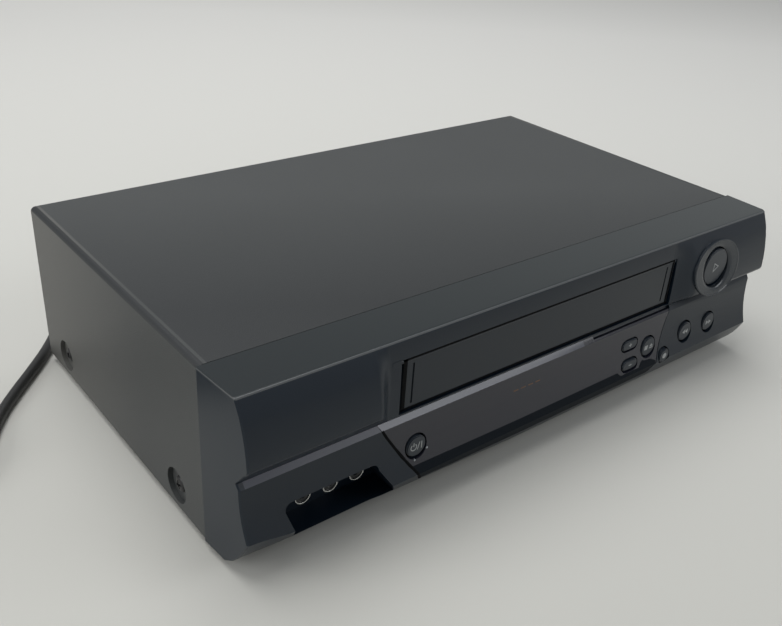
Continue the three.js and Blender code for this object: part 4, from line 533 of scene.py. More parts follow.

# Front bezel: one moulding in dark blue-grey plastic with a satin face, swept
# from the flat middle into the bulged cheeks, with all openings moulded in.
# Its top is painted lighter than its front and lighter still toward the right,
# and painted highlights run along its top edge and its ledge.
bezel_plastic = surface(
    "bezel_plastic", (0.0047, 0.0100, 0.0175), (0.0060, 0.0118, 0.0200), 0.31,
    grain=1800.0, relief=0.07, mottle=20.0, shine=0.36,
)
bezel_tree = bezel_plastic.node_tree
bezel_x, bezel_y, bezel_z = axes_of(bezel_plastic)
ledge_low, ledge_high, ledge_start, ledge_end = 0.0501, 0.0528, -0.176, 0.0262
top_edge_low, top_edge_high, top_low = 0.0929, 0.0937, 0.0936
bezel_half, bezel_front_to = 0.17, -0.1055
bezel_edge, bezel_sharp = 0.00035, 32.0
# Painted light: the bezel's top is painted lighter and greyer than its front.
bezel_top = between_values(bezel_tree, bezel_z, top_low, far)
tinted_where(bezel_plastic, (0.016, 0.0205, 0.0225), bezel_top)
# Painted light: the top is painted lighter toward the right.
top_light_ramp = ranged(bezel_tree, bezel_x, -bezel_half, bezel_half)
tinted_where(bezel_plastic, (0.039, 0.045, 0.0455), top_light_ramp, bezel_top)
# Painted highlight: a light line along the top edge.
top_edge = between_values(bezel_tree, bezel_z, top_edge_low, top_edge_high)
tinted_where(bezel_plastic, (0.09, 0.096, 0.1), top_edge)
# Painted highlight: a light strip along the ledge under the flap.
ledge_band = between_values(bezel_tree, bezel_z, ledge_low, ledge_high)
ledge_front = between_values(bezel_tree, bezel_y, -far, bezel_front_to)
ledge_left = between_values(bezel_tree, bezel_x, ledge_start, ledge_end)
tinted_where(bezel_plastic, (0.062, 0.066, 0.085), ledge_band, ledge_front, ledge_left)
dress(nodes["front_bezel"], bezel_plastic, bezel_edge, bezel_sharp)

# Cassette flap: a flat moulded lid in the same plastic, a touch glossier, that
# hangs on two pins at its top edge.
flap_plastic = surface(
    "flap_plastic", (0.0045, 0.0090, 0.0150), (0.0055, 0.0105, 0.0170), 0.33,
    grain=1600.0, relief=0.05, mottle=16.0, shine=0.42,
)
dress(nodes["cassette_door"], flap_plastic, usual_edge)

# Flap gap shade: a dull black strip laid on the flap's four edges as painted
# shade of the gap round it, broader at its two ends, and a small cap over each
# hinge pin beside the opening.
gap_shade_black = surface(
    "gap_shade_black", (0.0012, 0.0014, 0.0018), (0.0018, 0.002, 0.0024), 0.85,
    grain=1600.0, relief=0.1, shine=0.12,
)
(_, flap_front, flap_bottom), (_, _, flap_top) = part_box("cassette_door")
flap_left, flap_right = -0.0975, 0.0930
gap_shade_depth = (flap_front - 0.00006, flap_front + 0.0004)
flap_gap_shade = joined(
    [
        block(x0, x1, *gap_shade_depth, z0, z1, 0.00004, 1)
        for x0, x1, z0, z1 in (
            (flap_left, flap_left + 0.0021, flap_bottom, flap_top),
            (flap_right - 0.0011, flap_right, flap_bottom, flap_top),
            (flap_left, flap_right, flap_top - 0.0010, flap_top),
            (flap_left, flap_right, flap_bottom, flap_bottom + 0.0006),
        )
    ],
    "flap_gap_shade",
)
finished(flap_gap_shade, gap_shade_black, "black_rubber", body="cassette_door")
cap_depth, cap_height = (-0.10833, -0.1080), (0.0806, 0.0838)
cap_spans = ((-0.1037, -0.0989), (0.0944, 0.0992))
hinge_caps = joined([block(*span, *cap_depth, *cap_height, 0.00005, 2) for span in cap_spans], "hinge_caps")
finished(hinge_caps, bezel_plastic, "bezel_plastic")

# Display window: smoked acrylic with a polished face, let into the fascia. The
# strip along its lower edge, where the face turns under, is painted nearly black
# as shade, and the clock of the display tube is painted on its face as a row of
# dim orange dashes of glow.
smoked_acrylic = surface(
    "smoked_acrylic", (0.0130, 0.0140, 0.0220), (0.0155, 0.0165, 0.0255), 0.17,
    grain=500.0, relief=0.008, mottle=10.0,
)
window_tree = smoked_acrylic.node_tree
window_x, _, window_z = axes_of(smoked_acrylic)
chin_top = 0.0212
# Painted shade: the strip along the lower edge is painted nearly black.
tinted_where(smoked_acrylic, (0.0035, 0.0045, 0.006), between_values(window_tree, window_z, 0.0, chin_top))
# Painted glow: the display's clock is painted on the face as dim orange dashes.
dash_phase = worked_out(window_tree, "PINGPONG", window_x, 0.0026)
dash_length = between_values(window_tree, dash_phase, 0.0009, 0.01)
dash_height = between_values(window_tree, window_z, 0.0407, 0.0414)
dash_span = between_values(window_tree, window_x, -0.0260, -0.0052)
tinted_where(smoked_acrylic, (0.1, 0.045, 0.018), dash_length, dash_height, dash_span)
# Painted highlight: a light strip along the ledge, as on the bezel.
window_ledge = between_values(window_tree, window_z, ledge_low, ledge_high)
window_left = between_values(window_tree, window_x, -0.2, ledge_end)
tinted_where(smoked_acrylic, (0.06, 0.064, 0.085), window_ledge, window_left)
chin_painted_shade = surface(
    "chin_painted_shade", (0.0045, 0.0070, 0.0105), (0.0055, 0.0082, 0.0120), 0.55,
    grain=900.0, relief=0.02, shine=0.08,
)
dress(nodes["display_window"], smoked_acrylic, thin_edge)
# Painted shade: the faces of the lower edge get a dull near black finish.
marked_faces(nodes["display_window"], chin_painted_shade, (-far, -far, 0.0), (far, far, 0.0215))


def meshed(drawing):
    """A drawn curve made a mesh."""
    only_selected(placed(drawing.name, drawing))
    bpy.ops.object.convert(target="MESH")
    return bpy.context.active_object


def add_line(drawing, points, scale=0.001):
    """Adds straight runs through points given in millimetres."""
    line = drawing.splines.new("POLY")
    line.points.add(len(points) - 1)
    for knot, point in zip(line.points, points):
        knot.co = (*(scale * value for value in point), 1.0)
    return line


def flat_plate(name, outlines):
    """A thin plate facing +Z, from outlines across and up in millimetres."""
    drawing = bpy.data.curves.new(name, "CURVE")
    drawing.dimensions = "2D"
    drawing.fill_mode = "BOTH"
    drawing.extrude = 0.00008
    for outline in outlines:
        add_line(drawing, [(across, up, 0.0) for across, up in outline]).use_cyclic_u = True
    return meshed(drawing)


# The chin strip is a thin dark sheet laid on the window's lower edge as painted shade.
chin_lean = math.radians(18.6)
chin_outline = [
    (-87.9, 0.0), (-91.2, 5.0), (-20.0, 4.2), (55.0, 4.4), (57.6, 2.0), (73.4, 2.0),
    (75.4, 4.6), (77.0, 5.4), (79.5, 4.6), (84.0, 4.2), (88.4, 2.0), (88.1, 0.0),
]
chin_shade_strip = flat_plate("chin_shade_strip", [chin_outline])
chin_turn = quarter("X") @ Matrix.Rotation(-chin_lean, 4, "X")
settle(aim(chin_shade_strip, Matrix.Translation((0.0, -0.11366, 0.021)) @ chin_turn), "chin_shade_strip")
finished(chin_shade_strip, chin_painted_shade, "window_plastic")

# A thin black strip along the window's left seam widens its line as painted shade.
window_seam = [
    (-107.3, -108.50, 50.1), (-106.1, -108.61, 48.0), (-103.7, -108.73, 44.0), (-99.9, -109.31, 38.0),
    (-94.7, -110.88, 30.0), (-91.2, -112.29, 25.0), (-88.3, -113.60, 21.2), (-87.6, -113.25, 20.4),
    (-85.9, -111.87, 18.0), (-83.4, -109.80, 14.6),
]
seam_shade_depth = 0.85
seam_shade_drawing = bpy.data.curves.new("window_seam_shade", "CURVE")
seam_shade_drawing.dimensions = "3D"
seam_shade_drawing.bevel_depth = 0.0011
seam_shade_drawing.bevel_resolution = 3
seam_shade_drawing.use_fill_caps = True
add_line(seam_shade_drawing, [(x, y + seam_shade_depth, z) for x, y, z in window_seam])
window_seam_shade = settle(meshed(seam_shade_drawing), "window_seam_shade")
finished(window_seam_shade, gap_shade_black, "black_rubber")

# Buttons: small moulded caps that stand a little proud in their holes, each
# printed in pale grey with the usual sign for what it does. Two small pale domes
# stand beside the power button: a dot at its right, and below it a painted glint
# on the lower lip of its ring.
button_plastic = surface(
    "button_plastic", (0.0145, 0.0205, 0.0285), (0.0165, 0.0225, 0.031), 0.36,
    grain=1500.0, relief=0.05, mottle=40.0,
)
sign_ink = surface("sign_ink", (0.36, 0.37, 0.37), (0.3, 0.31, 0.31), 0.5, grain=3000.0, relief=0.05)


def arc_points(radius, start, end, steps):
    turns = [math.radians(start + (end - start) * i / steps) for i in range(steps + 1)]
    return [(radius * math.cos(turn), radius * math.sin(turn)) for turn in turns]


def bar(x0, x1, y0, y1):
    return [(x0, y0), (x1, y0), (x1, y1), (x0, y1)]


def arrow(x, size, way):
    return [(x, -size), (x + way * size * 1.5, 0.0), (x, size)]


plus_sign = [
    (-0.25, -1.2), (0.25, -1.2), (0.25, -0.25), (1.2, -0.25), (1.2, 0.25), (0.25, 0.25),
    (0.25, 1.2), (-0.25, 1.2), (-0.25, 0.25), (-1.2, 0.25), (-1.2, -0.25), (-0.25, -0.25),
]
power_ring = arc_points(1.9, 125.0, 415.0, 24) + arc_points(1.45, 415.0, 125.0, 24)
signs = {
    "play_button": [[(-2.1, -2.9), (2.9, 0.0), (-2.1, 2.9)], [(-1.6, -2.0), (1.85, 0.0), (-1.6, 2.0)]],
    "power_button": [
        [(x - 1.7, y) for x, y in power_ring],
        bar(-1.93, -1.47, 0.4, 2.4),
        [(0.3, -2.0), (0.75, -2.0), (2.0, 2.1), (1.55, 2.1)],
        bar(2.7, 3.2, -1.9, 2.0),
    ],
    "stop_eject_button": [
        bar(-3.6, -0.9, -1.35, 1.35),
        [(0.7, -0.1), (3.7, -0.1), (2.2, 1.6)],
        bar(0.7, 3.7, -1.35, -0.7),
    ],
    "record_button": [arc_points(1.7, 0.0, 345.0, 23)],
    "rewind_button": [arrow(-0.1, 1.5, -1), arrow(2.4, 1.5, -1)],
    "fast_forward_button": [arrow(0.1, 1.5, 1), arrow(-2.4, 1.5, 1)],
    "channel_up_button": [plus_sign],
    "channel_down_button": [bar(-1.2, 1.2, -0.25, 0.25)],
}
sign_depth = 0.00002
sign_names = {name: name + "_sign" for name in signs}
for button_name, outlines in signs.items():
    dress(nodes[button_name], button_plastic, wide_edge)
    low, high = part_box(button_name)
    x, _, z = middle_of(low, high)
    sign = aim(flat_plate(sign_names[button_name], outlines), turned_to(x, low[1] - sign_depth, z, "-y"))
    settle(sign, sign_names[button_name])
    finished(sign, sign_ink, "white_plastic", body=button_name)

# Pale domes: a dot right of the power button, and a painted glint below its ring.
pip_profile = [(0.00058, -0.0004), (0.00058, 0.0001), (0.00046, 0.00026), (0.0002, 0.00034)]
pip_places = ((-0.0817, -0.11052, 0.0318), (-0.0893, -0.11120, 0.0282))
power_pip_and_glint = joined(
    [aim(turned_rings(pip_profile, 16), turned_to(x, y, z, "-y")) for x, y, z in pip_places], "power_pip_and_glint"
)
pip_and_glint_pale = surface("pip_and_glint_pale", (0.3, 0.32, 0.33), (0.25, 0.27, 0.28), 0.15, grain=400.0, relief=0.01)
finished(power_pip_and_glint, pip_and_glint_pale, "display_glass")

# Play collar: a raised cone of the bezel's plastic round the play button,
# leaning back with the face of the cheek. It is oval, wider than high, and has
# a polished bead for a rim.
def spun_ring(profile, steps=48):
    """A closed ring round +Z from a profile that ends where it starts."""
    ring = turned_rings([*profile, profile[0]], steps)
    bpy.ops.object.mode_set(mode="EDIT")
    bpy.ops.mesh.select_mode(type="FACE")
    bpy.ops.mesh.select_all(action="DESELECT")
    bpy.ops.mesh.select_face_by_sides(number=5, type="GREATER")
    bpy.ops.mesh.delete(type="FACE")
    bpy.ops.mesh.select_all(action="SELECT")
    bpy.ops.mesh.remove_doubles(threshold=0.00001)
    bpy.ops.mesh.normals_make_consistent(inside=False)
    bpy.ops.object.mode_set(mode="OBJECT")
    return ring


collar_inner, collar_outer = 0.0119, 0.0163
collar_front, collar_lean, collar_stretch = -0.11403, -9.5, 0.31
collar_profile = [
    (collar_inner, -0.0024), (collar_outer, -0.0032), (collar_outer, 0.0003), (0.0161, 0.0006),
    (0.0157, 0.0006), (0.0154, 0.0003), (0.0135, 0.0003), (0.0123, -0.0003), (collar_inner, -0.0008),
]
play_x, _, play_z = middle_of(*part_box("play_button"))
collar_turn = Matrix.Rotation(math.radians(collar_lean), 4, "X") @ quarter("X")
collar_place = Matrix.Translation((play_x, collar_front, play_z)) @ collar_turn
collar_ring = spun_ring(collar_profile)
for corner in collar_ring.data.vertices:
    share = (math.hypot(corner.co.x, corner.co.y) - collar_inner) / (collar_outer - collar_inner)
    corner.co.x *= 1.0 + collar_stretch * share
play_collar = settle(aim(collar_ring, collar_place), "play_collar")
collar_plastic = surface(
    "collar_plastic", (0.016, 0.021, 0.027), (0.019, 0.0245, 0.031), 0.24, grain=1800.0, mottle=20.0
)
finished(play_collar, collar_plastic, "bezel_plastic")

# Front sockets: nickelled phono barrels in the recess of the left cheek, each
# with a dark moulded insulator and its contact hole inside the bright rim.
nickel = surface("nickel", (0.62, 0.62, 0.6), (0.5, 0.5, 0.49), 0.2, metallic=1.0, grain=600.0, relief=0.02)
socket_black = surface("socket_black", (0.008, 0.009, 0.01), (0.013, 0.014, 0.015), 0.4, grain=1200.0)
insulator_profile = [
    (0.0035, 0.0), (0.0035, 0.0003), (0.0032, 0.0005), (0.0019, 0.0005), (0.0017, 0.0003), (0.0017, -0.0002),
]
insulator_model = turned_rings(insulator_profile, 28)
bright_rim, insulator_sunk, jack_edge = 0.0085, 0.00105, 0.00015
for node_name in ("video_jack", "audio_left_jack", "audio_right_jack"):
    dress(nodes[node_name], nickel, jack_edge)
    low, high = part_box(node_name)
    x, _, z = middle_of(low, high)
    marked_faces(nodes[node_name], socket_black, (low[0], low[1] + bright_rim, low[2]), high)
    place = turned_to(x, low[1] + insulator_sunk, z, "-y")
    insulator = settle(copied(insulator_model, place), node_name + "_insulator")
    finished(insulator, socket_black, "black_plastic")

# Rear sockets: six phono sockets in a black moulded block, coded white, red
# and yellow, and two threaded aerial connectors on the tuner's can.
panel_back = 0.1053
behind_panel = ((-far, 0.1035, -far), (far, far, far))
socket_heights, collar_seat, insulator_seat = (0.035, 0.052), 0.1052, 0.1129
insulator_scale = Matrix.Diagonal((0.9, 0.9, 2.6, 1.0))
dress(nodes["rear_jack_block"], socket_black, usual_edge)
marked_faces(nodes["rear_jack_block"], nickel, *behind_panel)
collar_rings = [
    (0.0041, 0.0), (0.0056, 0.0002), (0.0058, 0.0008), (0.0056, 0.0016), (0.0043, 0.0018), (0.00425, 0.0018),
]
for x, piece_name, colour in (
    (0.046, "yellow_insulator", (0.55, 0.38, 0.02)),
    (0.063, "white_insulator", (0.62, 0.61, 0.58)),
    (0.080, "red_insulator", (0.42, 0.015, 0.012)),
):
    shade = tuple(0.8 * part for part in colour)
    insulator_plastic = surface(piece_name, colour, shade, 0.35, grain=1100.0)
    rings = []
    for z in socket_heights:
        rings.append(aim(turned_rings(collar_rings, 28), turned_to(x, collar_seat, z, "+y")))
        rings.append(copied(insulator_model, turned_to(x, insulator_seat, z, "+y") @ insulator_scale))
    insulator = joined(rings, piece_name)
    finished(insulator, insulator_plastic, "white_plastic")
bpy.data.objects.remove(insulator_model)

zinc_plate = surface(
    "zinc_plate", (0.5, 0.52, 0.53), (0.36, 0.38, 0.4), 0.34, metallic=1.0, grain=500.0, mottle=35.0
)
spangle = texture_on(zinc_plate, "Voronoi", Scale=110.0)
spangle_share = worked_out(zinc_plate.node_tree, "MULTIPLY", spangle.outputs["Color"], 0.35)
tinted_where(zinc_plate, (0.68, 0.7, 0.72), spangle_share)
dress(nodes["tuner_module"], zinc_plate, wide_edge)
marked_faces(nodes["tuner_module"], nickel, *behind_panel)
crest, root, thread_count, thread_pitch = 0.00515, 0.00486, 11, 0.0008
thread_profile = [(0.00484, 0.0)]
for turn in range(thread_count):
    start = 0.0001 + turn * thread_pitch
    thread_profile += [(crest, start + 0.0002), (crest, start + 0.0004)]
    thread_profile += [(root, start + 0.0006), (root, start + thread_pitch)]
thread_profile += [(0.0047, 0.0092), (0.0043, 0.0094), (0.0019, 0.0094), (0.0016, 0.0091), (0.0016, 0.006)]
nut_profile = [(0.0062, 0.0), (0.0067, 0.0003), (0.0067, 0.0019), (0.0062, 0.0022), (0.0052, 0.0022)]
aerial_x, aerial_heights, thread_seat = 0.136, (0.030, 0.052), 0.1058
aerial_parts = []
for z in aerial_heights:
    aerial_parts.append(aim(turned_rings(thread_profile, 30), turned_to(aerial_x, thread_seat, z, "+y")))
    aerial_parts.append(aim(turned_rings(nut_profile, 6), turned_to(aerial_x, panel_back, z, "+y", 15.0)))
aerial_threads = joined(aerial_parts, "aerial_threads")
finished(aerial_threads, nickel, "bright_metal")

# Rear panel: black sprayed steel plate with punched slots, held by seven cross
# head screws to the chassis, the cover, the socket block and the tuner.
panel_paint = surface(
    "panel_paint", (0.016, 0.016, 0.017), (0.023, 0.023, 0.024), 0.5, grain=2400.0, relief=0.3, mottle=18.0
)
dress(nodes["rear_panel"], panel_paint, usual_edge)
panel_screw_model = cross_screw(0.0028, 0.0013, 0.0012, 0.004)
panel_screws = joined(
    [
        copied(panel_screw_model, turned_to(x, panel_back, z, "+y", spin))
        for x, z, spin in (
            (-0.168, 0.084, 10.0), (0.168, 0.084, 55.0), (0.168, 0.012, 30.0), (-0.168, 0.012, 70.0),
            (0.0545, 0.0435, 25.0), (0.0715, 0.0435, 80.0), (aerial_x, 0.041, 40.0),
        )
    ],
    "panel_screws",
)
bpy.data.objects.remove(panel_screw_model)
finished(panel_screws, black_steel, "black_steel")

# Bottom chassis: folded from spangled zinc-plated sheet, with pressed posts
# for the boards and the deck, cooling slots and four moulded rubber feet.
dress(nodes["bottom_chassis"], zinc_plate, wide_edge)
foot_rubber = surface("foot_rubber", (0.012, 0.012, 0.012), (0.02, 0.02, 0.02), 0.8, relief=0.2)
foot_screw_model = cross_screw(0.0026, 0.0009, 0.0011, 0.003)
foot_screw_seat, foot_screw_turn = 0.0018, 33.0
pad_profile = [
    (0.0019, 0.0055), (0.0019, 0.00405), (0.009, 0.004), (0.009, 0.0031), (0.0086, 0.0029), (0.0086, 0.0026),
    (0.009, 0.0024), (0.0089, 0.0009), (0.0084, 0.0003), (0.0078, 0.0), (0.0044, 0.0), (0.0041, 0.0003),
    (0.0039, 0.0016), (0.0038, 0.0018),
]
for corner in ("front_left", "front_right", "rear_left", "rear_right"):
    x, y, _ = middle_of(*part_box("foot_" + corner))
    pad = aim(turned_rings(pad_profile, 36), Matrix.Translation((x, y, 0.0)))
    settle(pad, "foot_" + corner + "_pad")
    finished(pad, foot_rubber, "black_rubber", "foot_" + corner)
    fixing = copied(foot_screw_model, turned_to(x, y, foot_screw_seat, "-z", foot_screw_turn))
    finished(settle(fixing, "foot_" + corner + "_screw"), black_steel, "black_steel")
bpy.data.objects.remove(foot_screw_model)

# Main board: brown phenolic board with tinned joints and printed tracks. It
# carries three large chips with their rows of legs, and the tall parts stand
# to the right of the deck.
board_face = surface(
    "board_face", (0.13, 0.075, 0.026), (0.095, 0.056, 0.022), 0.48, grain=500.0, mottle=120.0
)
board_top, marked_from, can_seat = 0.0138, 0.01385, 0.01378
no_track, track = (0.0, 0.0, 0.0, 1.0), (1.0, 1.0, 1.0, 1.0)
tracks = texture_on(
    board_face, "Brick", Scale=55.0, Mortar_Size=0.035, Color1=no_track, Color2=no_track, Mortar=track
)
tinted_where(board_face, (0.2, 0.13, 0.05), tracks.outputs["Color"])
joints = texture_on(board_face, "Voronoi", Scale=210.0)
joint_mask = between_values(board_face.node_tree, joints.outputs["Distance"], -1.0, 0.16)
tinted_where(board_face, (0.5, 0.5, 0.48), joint_mask)
chip_plastic = surface(
    "chip_plastic", (0.012, 0.012, 0.013), (0.018, 0.018, 0.019), 0.55, grain=1800.0, relief=0.12
)
tinned_steel = surface("tinned_steel", (0.66, 0.66, 0.64), (0.52, 0.52, 0.51), 0.3, metallic=1.0, grain=800.0)
dress(nodes["main_board"], board_face)
marked_faces(nodes["main_board"], chip_plastic, (-far, -far, marked_from), (far, far, far))

leg_half, leg_pitch = (-0.0003, 0.0003), 0.0025
leg_model = joined(
    [
        block(x0, x1, *leg_half, z0, z1, 0.00008, 1)
        for x0, x1, z0, z1 in (
            (0.0, 0.0011, 0.0009, 0.0012),
            (0.0009, 0.0013, 0.0, 0.0012),
            (0.0011, 0.0021, 0.0, 0.0003),
        )
    ],
    "leg_model",
)
legs = []
for x, y, width, depth in (
    (0.04, -0.02035, 0.026, 0.014),
    (-0.04, -0.01035, 0.018, 0.018),
    (0.12, -0.02035, 0.03, 0.012),
):
    count = int(width / leg_pitch)
    for i in range(count):
        at = x - width / 2 + (i + 0.5) * width / count
        for side in (-1, 1):
            place = Matrix.Translation((at, y + side * depth / 2, board_top)) @ quarter("Z", side)
            legs.append(copied(leg_model, place))
bpy.data.objects.remove(leg_model)
chip_legs = joined(legs, "chip_legs")
finished(chip_legs, tinned_steel, "bright_metal")

can_sleeve = surface("can_sleeve", (0.012, 0.02, 0.055), (0.016, 0.026, 0.07), 0.3)
can_aluminium = surface("can_aluminium", (0.6, 0.6, 0.6), (0.5, 0.5, 0.5), 0.3, metallic=1.0, grain=700.0)
can_stripe = surface("can_stripe", (0.45, 0.46, 0.48), (0.4, 0.41, 0.43), 0.4)


def can_capacitor(radius, height):
    """An electrolytic can: rolled bead at the foot, sleeve over the rim and a scored top."""
    pinch = radius * 0.94
    profile = [(radius * 0.9, 0.0), (radius, height * 0.04), (radius, height * 0.1), (pinch, height * 0.13)]
    profile += [(pinch, height * 0.16), (radius, height * 0.19), (radius, height * 0.94), (pinch, height)]
    profile += [(radius * 0.8, height), (radius * 0.77, height * 0.985), (radius * 0.1, height * 0.985)]
    can = turned_rings(profile, 24)
    can.data.materials.append(can_sleeve)
    rim = radius * 0.83
    stripe = radius * 0.3
    marked_faces(can, can_stripe, (radius * 0.85, -stripe, height * 0.19), (far, stripe, height * 0.95))
    marked_faces(can, can_aluminium, (-rim, -rim, height * 0.97), (rim, rim, far))
    return can


def creased(piece):
    """Smooth shading, broken at the sharp edges, for a piece with several finishes."""
    piece.data.polygons.foreach_set("use_smooth", [True] * len(piece.data.polygons))
    piece.modifiers.new("creases", "EDGE_SPLIT").split_angle = math.radians(35.0)


def row_of_cans(name, places):
    """Cans of the given radius and height on a board, joined in one piece."""
    cans = [
        aim(can_capacitor(radius, height), turned_to(x, y, can_seat, "+z", spin))
        for x, y, radius, height, spin in places
    ]
    piece = joined(cans, name)
    creased(piece)
    return piece


can_places = (
    (0.106, -0.046, 0.0062, 0.021, 20.0), (0.121, -0.047, 0.0050, 0.0165, 80.0),
    (0.134, -0.0455, 0.0050, 0.0165, 200.0), (0.158, -0.047, 0.0040, 0.012, 140.0),
    (0.109, 0.004, 0.0040, 0.012, 15.0), (0.120, 0.010, 0.0031, 0.0105, 70.0),
    (0.131, 0.004, 0.0040, 0.013, 260.0), (0.145, 0.012, 0.0050, 0.0165, 310.0),
    (0.160, 0.006, 0.0031, 0.0105, 95.0), (0.109, 0.032, 0.0050, 0.0165, 45.0),
    (0.124, 0.034, 0.0031, 0.0105, 130.0), (0.158, 0.034, 0.0040, 0.012, 180.0),
)
board_capacitors = row_of_cans("board_capacitors", can_places)
belongs(board_capacitors, "black_plastic")

resistor_body = surface("resistor_body", (0.42, 0.3, 0.17), (0.36, 0.26, 0.15), 0.45, grain=1200.0)
band_brown = surface("band_brown", (0.1, 0.035, 0.012), (0.08, 0.03, 0.01), 0.45, grain=1200.0)
band_red = surface("band_red", (0.35, 0.012, 0.01), (0.3, 0.012, 0.01), 0.45, grain=1200.0)
band_gold = surface("band_gold", (0.55, 0.38, 0.12), (0.45, 0.32, 0.1), 0.35, metallic=0.6, grain=1200.0)
wire, bead, waist, reach = 0.0003, 0.0011, 0.0009, 0.0048
resistor_half = [(wire, reach), (wire, 0.0032), (0.0007, 0.0031)]
resistor_half += [(bead, 0.0028), (bead, 0.002), (waist, 0.0017)]
resistor_profile = [(radius, -along) for radius, along in resistor_half]
resistor_profile += [(waist, along) for along in (-0.0012, -0.0007, -0.0002, 0.0003, 0.0008, 0.0013)]
resistor_profile += resistor_half[::-1]
resistor_model = turned_rings(resistor_profile, 14)
resistor_model.data.materials.append(resistor_body)
for finish, low, high in (
    (tinned_steel, -0.0049, -0.0031),
    (tinned_steel, 0.0031, 0.0049),
    (band_brown, -0.0012, -0.0007),
    (band_red, -0.0002, 0.0003),
    (band_gold, 0.0008, 0.0013),
):
    marked_faces(resistor_model, finish, (-far, -far, low), (far, far, high))
resistor_height = 0.0149
resistor_places = []
for row in range(2):
    resistor_places += [(0.105 + step * 0.0085, 0.0182 + row * 0.0036) for step in range(row, 7, 2)]
resistor_places += [(0.104 + step * 0.0052, -0.033) for step in range(6)]
resistors = [copied(resistor_model, turned_to(x, y, resistor_height, "-y")) for x, y in resistor_places]
bpy.data.objects.remove(resistor_model)
board_resistors = joined(resistors, "board_resistors")
creased(board_resistors)
belongs(board_resistors, "grey_plastic")

header_plastic = surface("header_plastic", (0.62, 0.6, 0.52), (0.55, 0.53, 0.46), 0.45, grain=1100.0)
headers = []
header_pins = []
pin_pitch, pin_half, pin_from, pin_to = 0.0025, 0.0003, 0.0165, 0.0208
header_half, wall_from, header_top, wall_top = 0.0024, 0.0015, 0.0168, 0.0218
for x, y, ways in ((0.149, -0.036, 9), (0.110, 0.042, 3), (0.152, 0.026, 5)):
    length = ways * pin_pitch / 2 + 0.0012
    span, back = (x - length, x + length), y + header_half
    headers.append(block(*span, y - header_half, back, board_top, header_top, usual_edge, 2))
    headers.append(block(*span, y + wall_from, back, board_top, wall_top, usual_edge, 2))
    for i in range(ways):
        at = x + (i - (ways - 1) / 2) * pin_pitch
        pin_spans = (at - pin_half, at + pin_half, y - 2 * pin_half, y, pin_from, pin_to)
        header_pins.append(block(*pin_spans, 0.0001, 1))
board_headers = joined(headers, "board_headers")
finished(board_headers, header_plastic, "white_plastic")
board_pins = joined(header_pins, "board_header_pins")
finished(board_pins, tinned_steel, "bright_metal")

# Power supply: its own board at the left, with a laminated transformer in a
# yellow-taped copper winding, the reservoir can and a finned heat sink.
supply = nodes["power_supply_board"]
laminated_iron = surface("laminated_iron", (0.06, 0.062, 0.066), (0.04, 0.042, 0.045), 0.42, metallic=0.7)
sheets = texture_on(laminated_iron, "Wave", Scale=420.0)
sheets.bands_direction = "Z"
tinted_where(laminated_iron, (0.012, 0.012, 0.013), sheets.outputs["Fac"])
winding_tape = surface("winding_tape", (0.5, 0.33, 0.05), (0.42, 0.27, 0.04), 0.38, grain=700.0)
heat_sink = surface("heat_sink", (0.42, 0.43, 0.44), (0.33, 0.34, 0.35), 0.38, metallic=1.0)
dress(supply, board_face)
for finish, low, (x1, y1) in (
    (heat_sink, (-0.1715, -0.003, marked_from), (-0.1478, 0.034)),
    (can_sleeve, (-0.1335, -0.009, marked_from), (-0.1100, 0.0160)),
    (can_aluminium, (-0.1320, -0.007, 0.0431), (-0.1115, 0.0145)),
    (laminated_iron, (-0.1565, 0.0440, marked_from), (-0.1190, 0.0740)),
    (winding_tape, (-0.1520, 0.0385, 0.0180), (-0.1260, 0.0455)),
    (winding_tape, (-0.1520, 0.0738, 0.0180), (-0.1260, 0.0805)),
):
    marked_faces(supply, finish, low, (x1, y1, far))
supply_can_places = (
    (-0.164, -0.012, 0.0040, 0.014, 30.0), (-0.152, -0.012, 0.0031, 0.0105, 160.0),
    (-0.114, 0.026, 0.0050, 0.018, 250.0), (-0.127, 0.028, 0.0040, 0.014, 90.0),
    (-0.139, 0.020, 0.0040, 0.014, 320.0),
)
supply_capacitors = row_of_cans("supply_capacitors", supply_can_places)
belongs(supply_capacitors, "black_plastic")
inlet_filter = block(-0.167, -0.15, 0.083, 0.092, board_top, 0.0268, 0.0008)
inlet_socket = block(-0.138, -0.124, 0.086, 0.094, board_top, 0.0228, 0.0006)
mains_inlet = joined([inlet_filter, inlet_socket], "mains_inlet_parts")
finished(mains_inlet, header_plastic, "white_plastic")
fuse_x, fuse_y, fuse_height = -0.116, 0.054, 0.0196
clip_half, clip_depth, clip_offset, clip_top = 0.0015, 0.0025, 0.008, 0.0188
fuse_profile = [(0.0018, -0.009), (0.0024, -0.0088), (0.0024, 0.0088), (0.0018, 0.009)]
fuse_parts = [aim(turned_rings(fuse_profile, 20), turned_to(fuse_x, fuse_y, fuse_height, "+y"))]
for y in (fuse_y - clip_offset, fuse_y + clip_offset):
    spans = (fuse_x - clip_half, fuse_x + clip_half, y - clip_depth, y + clip_depth)
    fuse_parts.append(block(*spans, board_top, clip_top, wide_edge, 2))
mains_fuse = joined(fuse_parts, "mains_fuse")
finished(mains_fuse, tinned_steel, "bright_metal")

